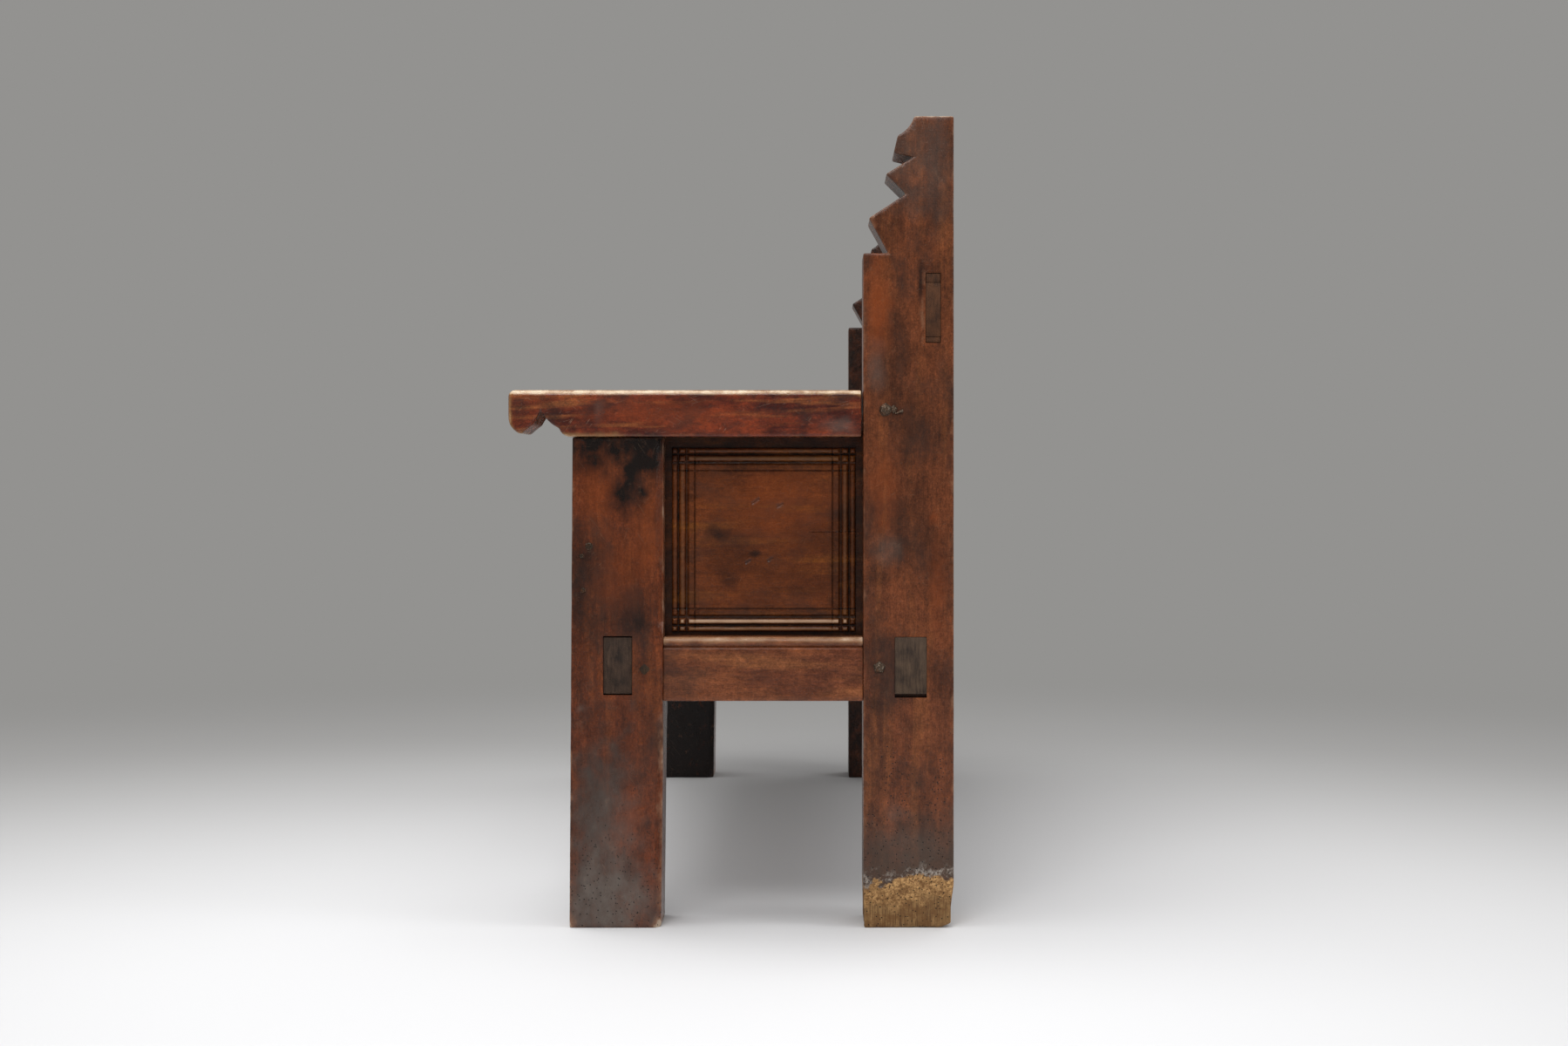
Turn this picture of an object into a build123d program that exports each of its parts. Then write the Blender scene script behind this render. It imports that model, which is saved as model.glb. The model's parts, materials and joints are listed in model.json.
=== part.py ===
"""Walnut settle: two end frames with arms and panels, long rails, a plank seat and a framed panel back."""
import os

from build123d import *

os.makedirs("parts", exist_ok=True)

# Overall frame, millimetres. X runs along the settle, +Y to the back, +Z up.
settle_length = 1550.0  # over the outer faces of the legs
frame_depth = 512.5  # front of a front leg to the back of a back post
timber_thickness = 90.0  # legs and posts, along X
leg_width = 122.0  # front leg, front to back
post_width = 122.0  # back post, front to back
post_height = 1090.0
foot_flare = 4.0  # spread of a front leg at the floor
arris = 2.0  # chamfer on the long corners

# Saw-tooth crest of a post: setback from its front face and drop from its top
crest_teeth = [
    (0.0, 184.0),
    (33.5, 184.0),
    (7.5, 137.0),
    (57.2, 104.6),
    (30.1, 78.0),
    (67.0, 55.0),
    (41.0, 49.0),
    (46.5, 26.0),
]
crest_cove = (61.2, 14.5)  # the hollow under the top passes through here
crest_top = (68.7, 0.0)

# Fits
tenon_play = 0.2  # each cheek of a tenon in its mortise
tenon_end_play = 2.0  # past the end of a blind tenon
groove_depth = 10.0
groove_play = 0.2  # each face of a panel tongue
panel_play = 1.0  # past the edge of a panel in its groove
nail_play = 0.1  # each side of a nail shank
shank = 5.0  # square nail shank

# Armrests
arm_top = 722.0
arm_height = 63.0
arm_lip = 6.0  # stands proud of the leg on each side
arm_overhang = 86.0  # in front of the front leg
arm_gap = 2.5  # open shoulder between arm and post
arm_round = 6.0  # worn upper corners
nose_round = 9.0  # upper corner of the nose
arm_tenon_length = 50.0
arm_tenon_thickness = 30.0
arm_tenon_shoulder = 11.0  # above and below the tenon
leg_tenon_length = 70.0  # stub on the leg, front to back
leg_tenon_thickness = 30.0
leg_tenon_height = 34.0

# Carved nose of an arm: distance behind its tip and height above its underside
nose_heel = (81.0, 0.0)
nose_heel_round = (73.0, 4.5)
nose_step = (69.0, 11.3)
nose_hollow = (54.6, 21.0)
nose_notch = (44.6, 35.4)
nose_lip = (33.8, 17.2)
nose_chin = (17.0, 3.6)
nose_chin_round = (4.6, 13.7)
nose_front = (0.0, 29.0)

# Side rails
side_rail_bottom = 304.0
side_rail_height = 86.0
side_rail_thickness = 55.0
side_rail_setback = 3.0  # behind the leg's outer face
side_tenon_length = 38.0
side_tenon_thickness = 24.0
side_tenon_shoulder = 12.0
bead_radius = 6.5
quirk = 2.0

# Moulded panels; moulding members are listed from the panel's edge inwards
side_panel_setback = 32.0  # field behind the leg's outer face
panel_thickness = 24.0
tongue_drop = 7.0  # tongue behind the field
tongue_thickness = 10.0
panel_margin = 9.5  # plain strip round the mouldings
small_bead = 4.5
member_gap = 2.4  # quirk between the two beads
large_bead = 8.0
hollow = 5.6
flat_band = 9.8
scored_line = 2.2
moulding_depth = 4.0
back_bevel = 25.0  # bevel round the back of the panel

# Long seat rails
seat_rail_height = 96.0
seat_rail_thickness = 52.0
front_tenon_thickness = 38.6
back_tenon_thickness = 42.6
seat_tenon_shoulder = 10.0
front_tenon_recess = 1.5  # end behind the leg's outer face
back_tenon_proud = 1.0  # end in front of the post's outer face
front_mortise_gap = 1.5  # open above and below the front tenon
back_mortise_gap = 5.0  # open below the back tenon
back_rail_shift = 3.0  # behind the middle of the post

# Seat
seat_thickness = 30.0
seat_setback = 4.0  # front edge behind the legs' front face
board_gap = 1.0
seat_clearance = 1.0  # round legs, posts and back
seat_edge = 8.0  # rounded front edge
bearer_width = 60.0
bearer_height = 60.0
bearer_tenon = 14.0
bearer_shoulder = 10.0
cleat_thickness = 20.0
cleat_height = 40.0
cleat_inset = 6.0  # from leg and post
seat_nail_head = 10.0  # square, let in flush
seat_head_depth = 2.5
seat_nail_length = 65.0
rail_nail_inset = 20.0  # end nails of the boards, from the legs

# Framed back
back_thickness = 34.0
back_setback = 10.8  # behind the frame to the posts' back face
back_panel_setback = 5.0  # field behind the frame's front face
back_tenon = 20.0  # thickness of the rail tenons
top_rail_bottom = 775.0
top_rail_height = 115.0
top_tenon_bottom = 18.6  # tenon above the rail's lower edge
top_tenon_height = 72.4
top_wedge = 13.0  # thick end of the upper wedge
bottom_wedge = 8.0
wedge_thin = 1.5  # thin end of both wedges
wedge_short = 8.0  # wedges stop short of the inner face
bottom_rail_drop = 6.0  # below the seat top, just behind the boards
bottom_rail_height = 76.0
bottom_tenon_length = 45.0
bottom_tenon_shoulder = 10.0
muntin_width = 88.0
muntin_tenon_length = 30.0
muntin_tenon_width = 60.0
muntin_tenon_thickness = 10.0
muntin_peg = 8.0
muntin_peg_inset = 18.0  # from the inner edge of the rail

# Nails and pegs
rose_head = 17.0
rose_height = 4.0
arm_nail_inset = 31.0  # from the post's front face
arm_nail_rise = 5.0  # above the middle of the arm
side_nail_inset = 22.0
end_nail_length = 60.0
back_nail_head = 14.0
back_nail_height = 2.0
back_nail_length = 62.0
peg_size = 12.0
peg_inset = 25.0  # from the leg's back face
peg_recess = 1.0
old_nail_spots = [(22.5, 147.0), (13.0, 160.0), (14.5, 206.0)]  # behind the leg's front, below the arm
old_nail_head = 9.0
old_nail_height = 1.5
old_nail_length = 30.0
cleat_nail_head = 10.0
cleat_nail_length = 50.0

# Places that follow from the sizes
leg_outer = settle_length / 2
leg_inner = leg_outer - timber_thickness
leg_middle = leg_outer - timber_thickness / 2
post_back = (frame_depth + arm_overhang - back_nail_height) / 2
post_front = post_back - post_width
leg_front = post_back - frame_depth
leg_back = leg_front + leg_width
front_rail_y = leg_front + leg_width / 2
back_rail_y = post_back - post_width / 2 + back_rail_shift
arm_bottom = arm_top - arm_height
arm_tip = leg_front - arm_overhang
arm_end = post_front - arm_gap
side_rail_top = side_rail_bottom + side_rail_height
side_rail_outer = leg_outer - side_rail_setback
side_rail_inner = side_rail_outer - side_rail_thickness
side_tenon_x = side_rail_outer - side_rail_thickness / 2
side_tenon_low = side_rail_bottom + side_tenon_shoulder
side_tenon_high = side_rail_top - side_tenon_shoulder
panel_face_x = leg_outer - side_panel_setback
tongue_outer = panel_face_x - tongue_drop
tongue_inner = tongue_outer - tongue_thickness
seat_underside = side_rail_bottom + seat_rail_height
seat_top = seat_underside + seat_thickness
seat_tenon_bottom = side_rail_bottom + seat_tenon_shoulder
seat_tenon_top = seat_underside - seat_tenon_shoulder
back_frame_back = post_back - back_setback
back_frame_front = back_frame_back - back_thickness
back_middle = (back_frame_front + back_frame_back) / 2
back_face_y = back_frame_front + back_panel_setback
back_tongue_front = back_face_y + tongue_drop
back_tongue_back = back_tongue_front + tongue_thickness
top_rail_top = top_rail_bottom + top_rail_height
top_tenon_low = top_rail_bottom + top_tenon_bottom
top_tenon_high = top_tenon_low + top_tenon_height
bottom_rail_bottom = seat_top - bottom_rail_drop
bottom_rail_top = bottom_rail_bottom + bottom_rail_height
muntin_steps = [-1, 0, 1]
panel_steps = [-1.5, -0.5, 0.5, 1.5]
back_opening = (2 * leg_inner - len(muntin_steps) * muntin_width) / len(panel_steps)
back_pitch = back_opening + muntin_width
seat_front = leg_front + seat_setback
seat_back = back_frame_front - seat_clearance
board_names = ["front", "middle", "back"]
board_width = (seat_back - seat_front + board_gap) / len(board_names) - board_gap
board_end = side_rail_inner - seat_clearance
board_end_at_legs = leg_inner - seat_clearance
bearer_front = front_rail_y + seat_rail_thickness / 2
bearer_back = back_rail_y - seat_rail_thickness / 2
bearer_places = [2 * leg_inner / 3 * step for step in (-1, 0, 1)]
bearer_low = seat_underside - bearer_height + bearer_shoulder
bearer_high = seat_underside - bearer_shoulder
muntin_places = [step * back_pitch for step in muntin_steps]
muntin_peg_heights = [bottom_rail_top - muntin_peg_inset, top_rail_bottom + muntin_peg_inset]
side_nail_z = (side_rail_bottom + side_rail_top) / 2
arm_nail_z = (arm_bottom + arm_top) / 2 + arm_nail_rise
back_nail_heights = [
    (seat_tenon_bottom + seat_tenon_top) / 2,
    (top_tenon_low + top_tenon_high) / 2,
]
board_starts = [seat_front + k * (board_width + board_gap) for k in range(len(board_names))]
seat_middle = board_starts[1] + board_width / 2
rail_nail_places = [(leg_inner - rail_nail_inset) * k / 2 for k in (-2, -1, 0, 1, 2)]
cleat_front = leg_back + cleat_inset
cleat_back = post_front - cleat_inset
cleat_nail_places = [cleat_front + (cleat_back - cleat_front) * k / 4 for k in (1, 3)]
cleat_nail_z = seat_underside - 0.75 * cleat_height
old_nail_places = [(leg_front + inset, arm_bottom - drop) for inset, drop in old_nail_spots]


def block(x_limits, y_limits, z_limits, mode=Mode.ADD):
    """A rectangular block between three pairs of limits, added to the current part."""
    low = (x_limits[0], y_limits[0], z_limits[0])
    size = (x_limits[1] - x_limits[0], y_limits[1] - y_limits[0], z_limits[1] - z_limits[0])
    with Locations(low):
        Box(*size, align=(Align.MIN, Align.MIN, Align.MIN), mode=mode)


def about(middle, width, play=0.0):
    """Limits of a given width round a middle, with play on both sides."""
    return (middle - width / 2 - play, middle + width / 2 + play)


def on_crest(point):
    """A point of the crest in the end view (Y, Z)."""
    return (post_front + point[0], post_height - point[1])


def on_nose(point):
    """A point of the arm's nose in the end view (Y, Z)."""
    return (arm_tip + point[0], arm_bottom + point[1])


def write(part, name):
    """Label a finished piece and write it to its file."""
    part.label = name
    export_step(part, f"parts/{name}.step")


def write_left(part, name):
    """Write the mirror image of a right-hand piece, for the left end."""
    with BuildPart() as left:
        add(part)
        mirror(about=Plane.YZ, mode=Mode.REPLACE)
    write(left.part, f"left_{name}")


def write_pair(part, name):
    """Write a right-hand piece and its mirror image."""
    write(part, f"right_{name}")
    write_left(part, name)


def nail(face, head, head_height, length):
    """A forged nail with a faceted head on a face, its square shank behind it."""
    with BuildPart() as forged:
        with BuildSketch(face):
            RegularPolygon(head / 2, 8)
        extrude(amount=head_height, taper=35)
        with BuildSketch(face):
            Rectangle(shank, shank)
        extrude(amount=-length)
    return forged.part


def both_ends(part):
    """A right-hand fastener together with its mirror image."""
    with BuildPart() as pair:
        add(part)
        mirror(about=Plane.YZ)
    return pair.part


def moulding(half_size, half_tongue):
    """Half outline of a moulded panel from its middle outwards; stretches of three points are arcs."""
    edge = half_size - panel_margin
    bead_out = edge - small_bead
    large_out = bead_out - member_gap
    large_in = large_out - large_bead
    hollow_in = large_in - hollow
    band_in = hollow_in - flat_band
    field = band_in - scored_line
    low = moulding_depth
    back = tongue_drop + tongue_thickness
    return [
        [(0.0, 0.0), (field, 0.0), (band_in - scored_line / 2, low / 2), (band_in, 0.0), (hollow_in, 0.0)],
        [(hollow_in, 0.0), (large_in - hollow / 2, low * 0.7), (large_in, low * 0.9)],
        [(large_in, low * 0.9), ((large_in + large_out) / 2, low * 0.1), (large_out, low)],
        [(large_out, low), (bead_out, low)],
        [(bead_out, low), ((bead_out + edge) / 2, low * 0.5), (edge, low)],
        [(edge, low), (edge, tongue_drop), (half_tongue, tongue_drop), (half_tongue, back)],
        [
            (half_tongue, back),
            (half_size - 2 * panel_play, back),
            (half_size - back_bevel, panel_thickness),
            (0.0, panel_thickness),
        ],
    ]


def moulded_panel(face, width, height):
    """A board with its mouldings planed straight through both ways, so that they cross at the corners."""
    across = Plane(origin=face.origin, x_dir=face.x_dir, z_dir=face.y_dir)
    upright = Plane(origin=face.origin, x_dir=face.y_dir, z_dir=-face.x_dir)
    reach = groove_depth - panel_play
    with BuildPart() as panel:
        for plane, size, length, mode in (
            (across, width, height, Mode.ADD),
            (upright, height, width, Mode.INTERSECT),
        ):
            with BuildSketch(plane):
                with BuildLine():
                    for stretch in moulding(size / 2, size / 2 + reach):
                        if len(stretch) == 3:
                            ThreePointArc(*stretch)
                        else:
                            Polyline(*stretch)
                    mirror(about=Plane.YZ)
                make_face()
            extrude(amount=length / 2 + reach, both=True, mode=mode)
    return panel.part


# Front leg, right-hand end
with BuildPart() as front_leg:
    with BuildSketch(Plane.YZ.offset(leg_inner)):
        with BuildLine():
            Polyline(
                (leg_front - foot_flare, 0.0),
                (leg_back, 0.0),
                (leg_back, arm_bottom),
                (leg_front, arm_bottom),
                close=True,
            )
        make_face()
    extrude(amount=timber_thickness)
    chamfer(front_leg.edges().filter_by(lambda edge: edge.length > arm_bottom - 1.0), length=arris)
    block(
        about(leg_middle, leg_tenon_thickness),
        about(front_rail_y, leg_tenon_length),
        (arm_bottom, arm_bottom + leg_tenon_height),
    )
    # mortise of the front seat rail, right through
    block(
        (leg_inner - 1.0, leg_outer + 1.0),
        about(front_rail_y, front_tenon_thickness, tenon_play),
        (seat_tenon_bottom - front_mortise_gap, seat_tenon_top + front_mortise_gap),
        Mode.SUBTRACT,
    )
    # mortise of the side rail
    block(
        about(side_tenon_x, side_tenon_thickness, tenon_play),
        (leg_back - side_tenon_length - tenon_end_play, leg_back + 1.0),
        (side_tenon_low - tenon_play, side_tenon_high + tenon_play),
        Mode.SUBTRACT,
    )
    # groove of the side panel
    block(
        (tongue_inner - groove_play, tongue_outer + groove_play),
        (leg_back - groove_depth, leg_back + 1.0),
        (side_rail_top - groove_depth, arm_bottom + 1.0),
        Mode.SUBTRACT,
    )
    # square peg hole, set on its corner
    with BuildSketch(Plane.YZ.offset(leg_outer + 1.0)):
        with Locations((leg_back - peg_inset, side_nail_z)):
            Rectangle(peg_size + 2 * nail_play, peg_size + 2 * nail_play, rotation=45)
    extrude(amount=-end_nail_length - 1.0, mode=Mode.SUBTRACT)

# The three old nails are in the right leg only
with BuildPart() as nailed_leg:
    add(front_leg.part)
    for nail_y, nail_z in old_nail_places:
        block(
            (leg_outer - old_nail_length, leg_outer + 1.0),
            about(nail_y, shank, nail_play),
            about(nail_z, shank, nail_play),
            Mode.SUBTRACT,
        )
write(nailed_leg.part, "right_front_leg")
write_left(front_leg.part, "front_leg")

# Back post with the saw-tooth crest, right-hand end
teeth = [on_crest(point) for point in crest_teeth]
with BuildPart() as back_post:
    with BuildSketch(Plane.YZ.offset(leg_inner)):
        with BuildLine():
            Polyline(
                on_crest(crest_top),
                (post_back, post_height),
                (post_back, 0.0),
                (post_front, 0.0),
                *teeth,
            )
            ThreePointArc(teeth[-1], on_crest(crest_cove), on_crest(crest_top))
        make_face()
    extrude(amount=timber_thickness)
    long_corners = back_post.edges().filter_by(Axis.Z).filter_by(lambda edge: edge.length > arm_top)
    chamfer(long_corners, length=arris)
    # mortise of the back seat rail, right through
    block(
        (leg_inner - 1.0, leg_outer + 1.0),
        about(back_rail_y, back_tenon_thickness, tenon_play),
        (seat_tenon_bottom - back_mortise_gap, seat_tenon_top + tenon_play),
        Mode.SUBTRACT,
    )
    # mortises of the side rail and of the arm
    block(
        about(side_tenon_x, side_tenon_thickness, tenon_play),
        (post_front - 1.0, post_front + side_tenon_length + tenon_end_play),
        (side_tenon_low - tenon_play, side_tenon_high + tenon_play),
        Mode.SUBTRACT,
    )
    block(
        about(leg_middle, arm_tenon_thickness, tenon_play),
        (post_front - 1.0, post_front + arm_tenon_length + tenon_end_play),
        (arm_bottom + arm_tenon_shoulder - tenon_play, arm_top - arm_tenon_shoulder + tenon_play),
        Mode.SUBTRACT,
    )
    # groove of the side panel
    block(
        (tongue_inner - groove_play, tongue_outer + groove_play),
        (post_front - 1.0, post_front + groove_depth),
        (side_rail_top - groove_depth, arm_bottom + groove_depth),
        Mode.SUBTRACT,
    )
    # flared mortise of the wedged top rail
    with BuildSketch(Plane.XZ.offset(-back_middle)):
        with BuildLine():
            Polyline(
                (leg_inner - 1.0, top_tenon_low - tenon_play),
                (leg_inner + wedge_short, top_tenon_low - tenon_play),
                (leg_inner + wedge_short, top_tenon_low - wedge_thin - tenon_play),
                (leg_outer, top_tenon_low - bottom_wedge - tenon_play),
                (leg_outer + 1.0, top_tenon_low - bottom_wedge - tenon_play),
                (leg_outer + 1.0, top_tenon_high + top_wedge + tenon_play),
                (leg_outer, top_tenon_high + top_wedge + tenon_play),
                (leg_inner + wedge_short, top_tenon_high + wedge_thin + tenon_play),
                (leg_inner + wedge_short, top_tenon_high + tenon_play),
                (leg_inner - 1.0, top_tenon_high + tenon_play),
                close=True,
            )
        make_face()
    extrude(amount=back_tenon / 2 + tenon_play, both=True, mode=Mode.SUBTRACT)
    # mortise of the lower back rail and groove of the end panel of the back
    block(
        (leg_inner - 1.0, leg_inner + bottom_tenon_length + tenon_end_play),
        about(back_middle, back_tenon, tenon_play),
        (
            bottom_rail_bottom + bottom_tenon_shoulder - tenon_play,
            bottom_rail_top - bottom_tenon_shoulder + tenon_play,
        ),
        Mode.SUBTRACT,
    )
    block(
        (leg_inner - 1.0, leg_inner + groove_depth),
        (back_tongue_front - groove_play, back_tongue_back + groove_play),
        (bottom_rail_top - groove_depth, top_rail_bottom + groove_depth),
        Mode.SUBTRACT,
    )
    # nail holes
    for inset, height in ((arm_nail_inset, arm_nail_z), (side_nail_inset, side_nail_z)):
        block(
            (leg_outer - end_nail_length, leg_outer + 1.0),
            about(post_front + inset, shank, nail_play),
            about(height, shank, nail_play),
            Mode.SUBTRACT,
        )
    for height in back_nail_heights:
        block(
            about(leg_middle, shank, nail_play),
            (post_back - back_nail_length, post_back + 1.0),
            about(height, shank, nail_play),
            Mode.SUBTRACT,
        )
write_pair(back_post.part, "back_post")

# Armrest with the carved nose, right-hand end
with BuildPart() as arm:
    with BuildSketch(Plane.YZ.offset(leg_inner - arm_lip)):
        with BuildLine():
            Polyline(
                (arm_tip + nose_round, arm_top),
                (arm_end, arm_top),
                (arm_end, arm_bottom),
                on_nose(nose_heel),
            )
            ThreePointArc(on_nose(nose_heel), on_nose(nose_heel_round), on_nose(nose_step))
            ThreePointArc(on_nose(nose_step), on_nose(nose_hollow), on_nose(nose_notch))
            Polyline(on_nose(nose_notch), on_nose(nose_lip), on_nose(nose_chin))
            ThreePointArc(on_nose(nose_chin), on_nose(nose_chin_round), on_nose(nose_front))
            Line(on_nose(nose_front), (arm_tip, arm_top - nose_round))
            RadiusArc((arm_tip, arm_top - nose_round), (arm_tip + nose_round, arm_top), nose_round)
        make_face()
    extrude(amount=timber_thickness + 2 * arm_lip)
    fillet(arm.edges().filter_by(Axis.Y).group_by(Axis.Z)[-1], radius=arm_round)
    block(
        about(leg_middle, arm_tenon_thickness),
        (arm_end, post_front + arm_tenon_length),
        (arm_bottom + arm_tenon_shoulder, arm_top - arm_tenon_shoulder),
    )
    # mortise over the leg's stub tenon, and the groove of the side panel
    block(
        about(leg_middle, leg_tenon_thickness, tenon_play),
        about(front_rail_y, leg_tenon_length, tenon_play),
        (arm_bottom - 1.0, arm_bottom + leg_tenon_height + tenon_end_play),
        Mode.SUBTRACT,
    )
    block(
        (tongue_inner - groove_play, tongue_outer + groove_play),
        (leg_back - groove_depth, arm_end + 1.0),
        (arm_bottom - 1.0, arm_bottom + groove_depth),
        Mode.SUBTRACT,
    )
    # nail hole in the tenon
    block(
        (leg_outer - end_nail_length, leg_outer),
        about(post_front + arm_nail_inset, shank, nail_play),
        about(arm_nail_z, shank, nail_play),
        Mode.SUBTRACT,
    )
write_pair(arm.part, "arm")

# Side rail with a quirk bead along its upper outer corner, right-hand end
with BuildPart() as side_rail:
    with BuildSketch(Plane.XZ.offset(-post_front)):
        with BuildLine():
            Polyline(
                (side_rail_outer - bead_radius, side_rail_top),
                (side_rail_inner, side_rail_top),
                (side_rail_inner, side_rail_bottom),
                (side_rail_outer, side_rail_bottom),
                (side_rail_outer, side_rail_top - 2 * bead_radius - quirk),
                (side_rail_outer - bead_radius, side_rail_top - 2 * bead_radius),
            )
            ThreePointArc(
                (side_rail_outer - bead_radius, side_rail_top - 2 * bead_radius),
                (side_rail_outer, side_rail_top - bead_radius),
                (side_rail_outer - bead_radius, side_rail_top),
            )
        make_face()
    extrude(amount=post_front - leg_back)
    block(
        about(side_tenon_x, side_tenon_thickness),
        (leg_back - side_tenon_length, post_front + side_tenon_length),
        (side_tenon_low, side_tenon_high),
    )
    block(
        (tongue_inner - groove_play, tongue_outer + groove_play),
        (leg_back - 1.0, post_front + 1.0),
        (side_rail_top - groove_depth, side_rail_top + 1.0),
        Mode.SUBTRACT,
    )
    block(
        (leg_outer - end_nail_length, leg_outer),
        about(post_front + side_nail_inset, shank, nail_play),
        about(side_nail_z, shank, nail_play),
        Mode.SUBTRACT,
    )
    with BuildSketch(Plane.YZ.offset(leg_outer + 1.0)):
        with Locations((leg_back - peg_inset, side_nail_z)):
            Rectangle(peg_size + 2 * nail_play, peg_size + 2 * nail_play, rotation=45)
    extrude(amount=-end_nail_length - 1.0, mode=Mode.SUBTRACT)
    for place in cleat_nail_places:
        block(
            (side_rail_inner - 1.0, side_rail_inner + cleat_nail_length - cleat_thickness),
            about(place, shank, nail_play),
            about(cleat_nail_z, shank, nail_play),
            Mode.SUBTRACT,
        )
write_pair(side_rail.part, "side_rail")

# Side panel, standing in the groove of the side rail
side_opening_z = (side_rail_top + arm_bottom) / 2
side_origin = (panel_face_x, (leg_back + post_front) / 2, side_opening_z - panel_play)
side_face = Plane(origin=side_origin, x_dir=(0, 1, 0), z_dir=(1, 0, 0))
write_pair(moulded_panel(side_face, post_front - leg_back, arm_bottom - side_rail_top), "side_panel")

# Long seat rails with their through tenons
for name, rail_y, thickness, reach, facing in (
    ("front_seat_rail", front_rail_y, front_tenon_thickness, leg_outer - front_tenon_recess, 1),
    ("back_seat_rail", back_rail_y, back_tenon_thickness, leg_outer + back_tenon_proud, -1),
):
    with BuildPart() as seat_rail:
        block((-leg_inner, leg_inner), about(rail_y, seat_rail_thickness), (side_rail_bottom, seat_underside))
        block((-reach, reach), about(rail_y, thickness), (seat_tenon_bottom, seat_tenon_top))
        inner_face = rail_y + facing * seat_rail_thickness / 2
        mortise_end = inner_face - facing * (bearer_tenon + tenon_end_play)
        for place in bearer_places:
            block(
                about(place, bearer_width / 2, tenon_play),
                sorted((inner_face, mortise_end)),
                (bearer_low - tenon_play, bearer_high + tenon_play),
                Mode.SUBTRACT,
            )
        for place in rail_nail_places:
            block(
                about(place, shank, nail_play),
                about(rail_y, shank, nail_play),
                (seat_top - seat_nail_length, seat_underside + 1.0),
                Mode.SUBTRACT,
            )
        if facing < 0:
            for end in (-leg_middle, leg_middle):
                block(
                    about(end, shank, nail_play),
                    (post_back - back_nail_length, post_back),
                    about(back_nail_heights[0], shank, nail_play),
                    Mode.SUBTRACT,
                )
    write(seat_rail.part, name)

# Bearers between the long rails, under the boards
for name, place in zip(("left", "middle", "right"), bearer_places):
    with BuildPart() as bearer:
        block(
            about(place, bearer_width),
            (bearer_front, bearer_back),
            (seat_underside - bearer_height, seat_underside),
        )
        block(
            about(place, bearer_width / 2),
            (bearer_front - bearer_tenon, bearer_back + bearer_tenon),
            (bearer_low, bearer_high),
        )
        for offset in (-board_width / 4, board_width / 4):
            block(
                about(place, shank, nail_play),
                about(seat_middle + offset, shank, nail_play),
                (seat_top - seat_nail_length, seat_underside + 1.0),
                Mode.SUBTRACT,
            )
    write(bearer.part, f"seat_bearer_{name}")

# Cleats on the inner faces of the side rails
with BuildPart() as cleat:
    block(
        (side_rail_inner - cleat_thickness, side_rail_inner),
        (cleat_front, cleat_back),
        (seat_underside - cleat_height, seat_underside),
    )
    for place in cleat_nail_places:
        block(
            (side_rail_inner - cleat_thickness - 1.0, side_rail_inner + 1.0),
            about(place, shank, nail_play),
            about(cleat_nail_z, shank, nail_play),
            Mode.SUBTRACT,
        )
write_pair(cleat.part, "seat_cleat")

# Seat boards: the outer two are notched round legs and posts
nails_of_boards = {
    "front": [(place, front_rail_y) for place in rail_nail_places],
    "middle": [(place, seat_middle + side * board_width / 4) for place in bearer_places for side in (-1, 1)],
    "back": [(place, back_rail_y) for place in rail_nail_places],
}
for name, start in zip(board_names, board_starts):
    with BuildPart() as board:
        block((-board_end, board_end), (start, start + board_width), (seat_underside, seat_top))
        for end in (-1, 1):
            notch_x = sorted((end * board_end_at_legs, end * leg_outer))
            block(notch_x, (seat_front - 1.0, leg_back + seat_clearance), (0.0, post_height), Mode.SUBTRACT)
            block(notch_x, (post_front - seat_clearance, post_back), (0.0, post_height), Mode.SUBTRACT)
        if name == "front":
            fillet(board.edges().filter_by(Axis.X).group_by(Axis.Y)[0].group_by(Axis.Z)[-1], radius=seat_edge)
        for nail_x, nail_y in nails_of_boards[name]:
            block(
                about(nail_x, shank, nail_play),
                about(nail_y, shank, nail_play),
                (seat_underside - 1.0, seat_top + 1.0),
                Mode.SUBTRACT,
            )
            block(
                about(nail_x, seat_nail_head, nail_play),
                about(nail_y, seat_nail_head, nail_play),
                (seat_top - seat_head_depth, seat_top + 1.0),
                Mode.SUBTRACT,
            )
    write(board.part, f"seat_board_{name}")

# Top rail of the back, wedged in the posts
with BuildPart() as top_rail:
    block((-leg_inner, leg_inner), (back_frame_front, back_frame_back), (top_rail_bottom, top_rail_top))
    block((-leg_outer, leg_outer), about(back_middle, back_tenon), (top_tenon_low, top_tenon_high))
    block(
        (-leg_inner - 1.0, leg_inner + 1.0),
        (back_tongue_front - groove_play, back_tongue_back + groove_play),
        (top_rail_bottom - 1.0, top_rail_bottom + groove_depth),
        Mode.SUBTRACT,
    )
    for place in muntin_places:
        block(
            about(place, muntin_tenon_width, tenon_play),
            about(back_middle, muntin_tenon_thickness, tenon_play),
            (top_rail_bottom - 1.0, top_rail_bottom + muntin_tenon_length + tenon_end_play),
            Mode.SUBTRACT,
        )
        block(
            about(place, muntin_peg, nail_play),
            (back_frame_front - 1.0, back_frame_back + 1.0),
            about(muntin_peg_heights[1], muntin_peg, nail_play),
            Mode.SUBTRACT,
        )
    for end in (-leg_middle, leg_middle):
        block(
            about(end, shank, nail_play),
            (post_back - back_nail_length, post_back),
            about(back_nail_heights[1], shank, nail_play),
            Mode.SUBTRACT,
        )
write(top_rail.part, "back_top_rail")

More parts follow.
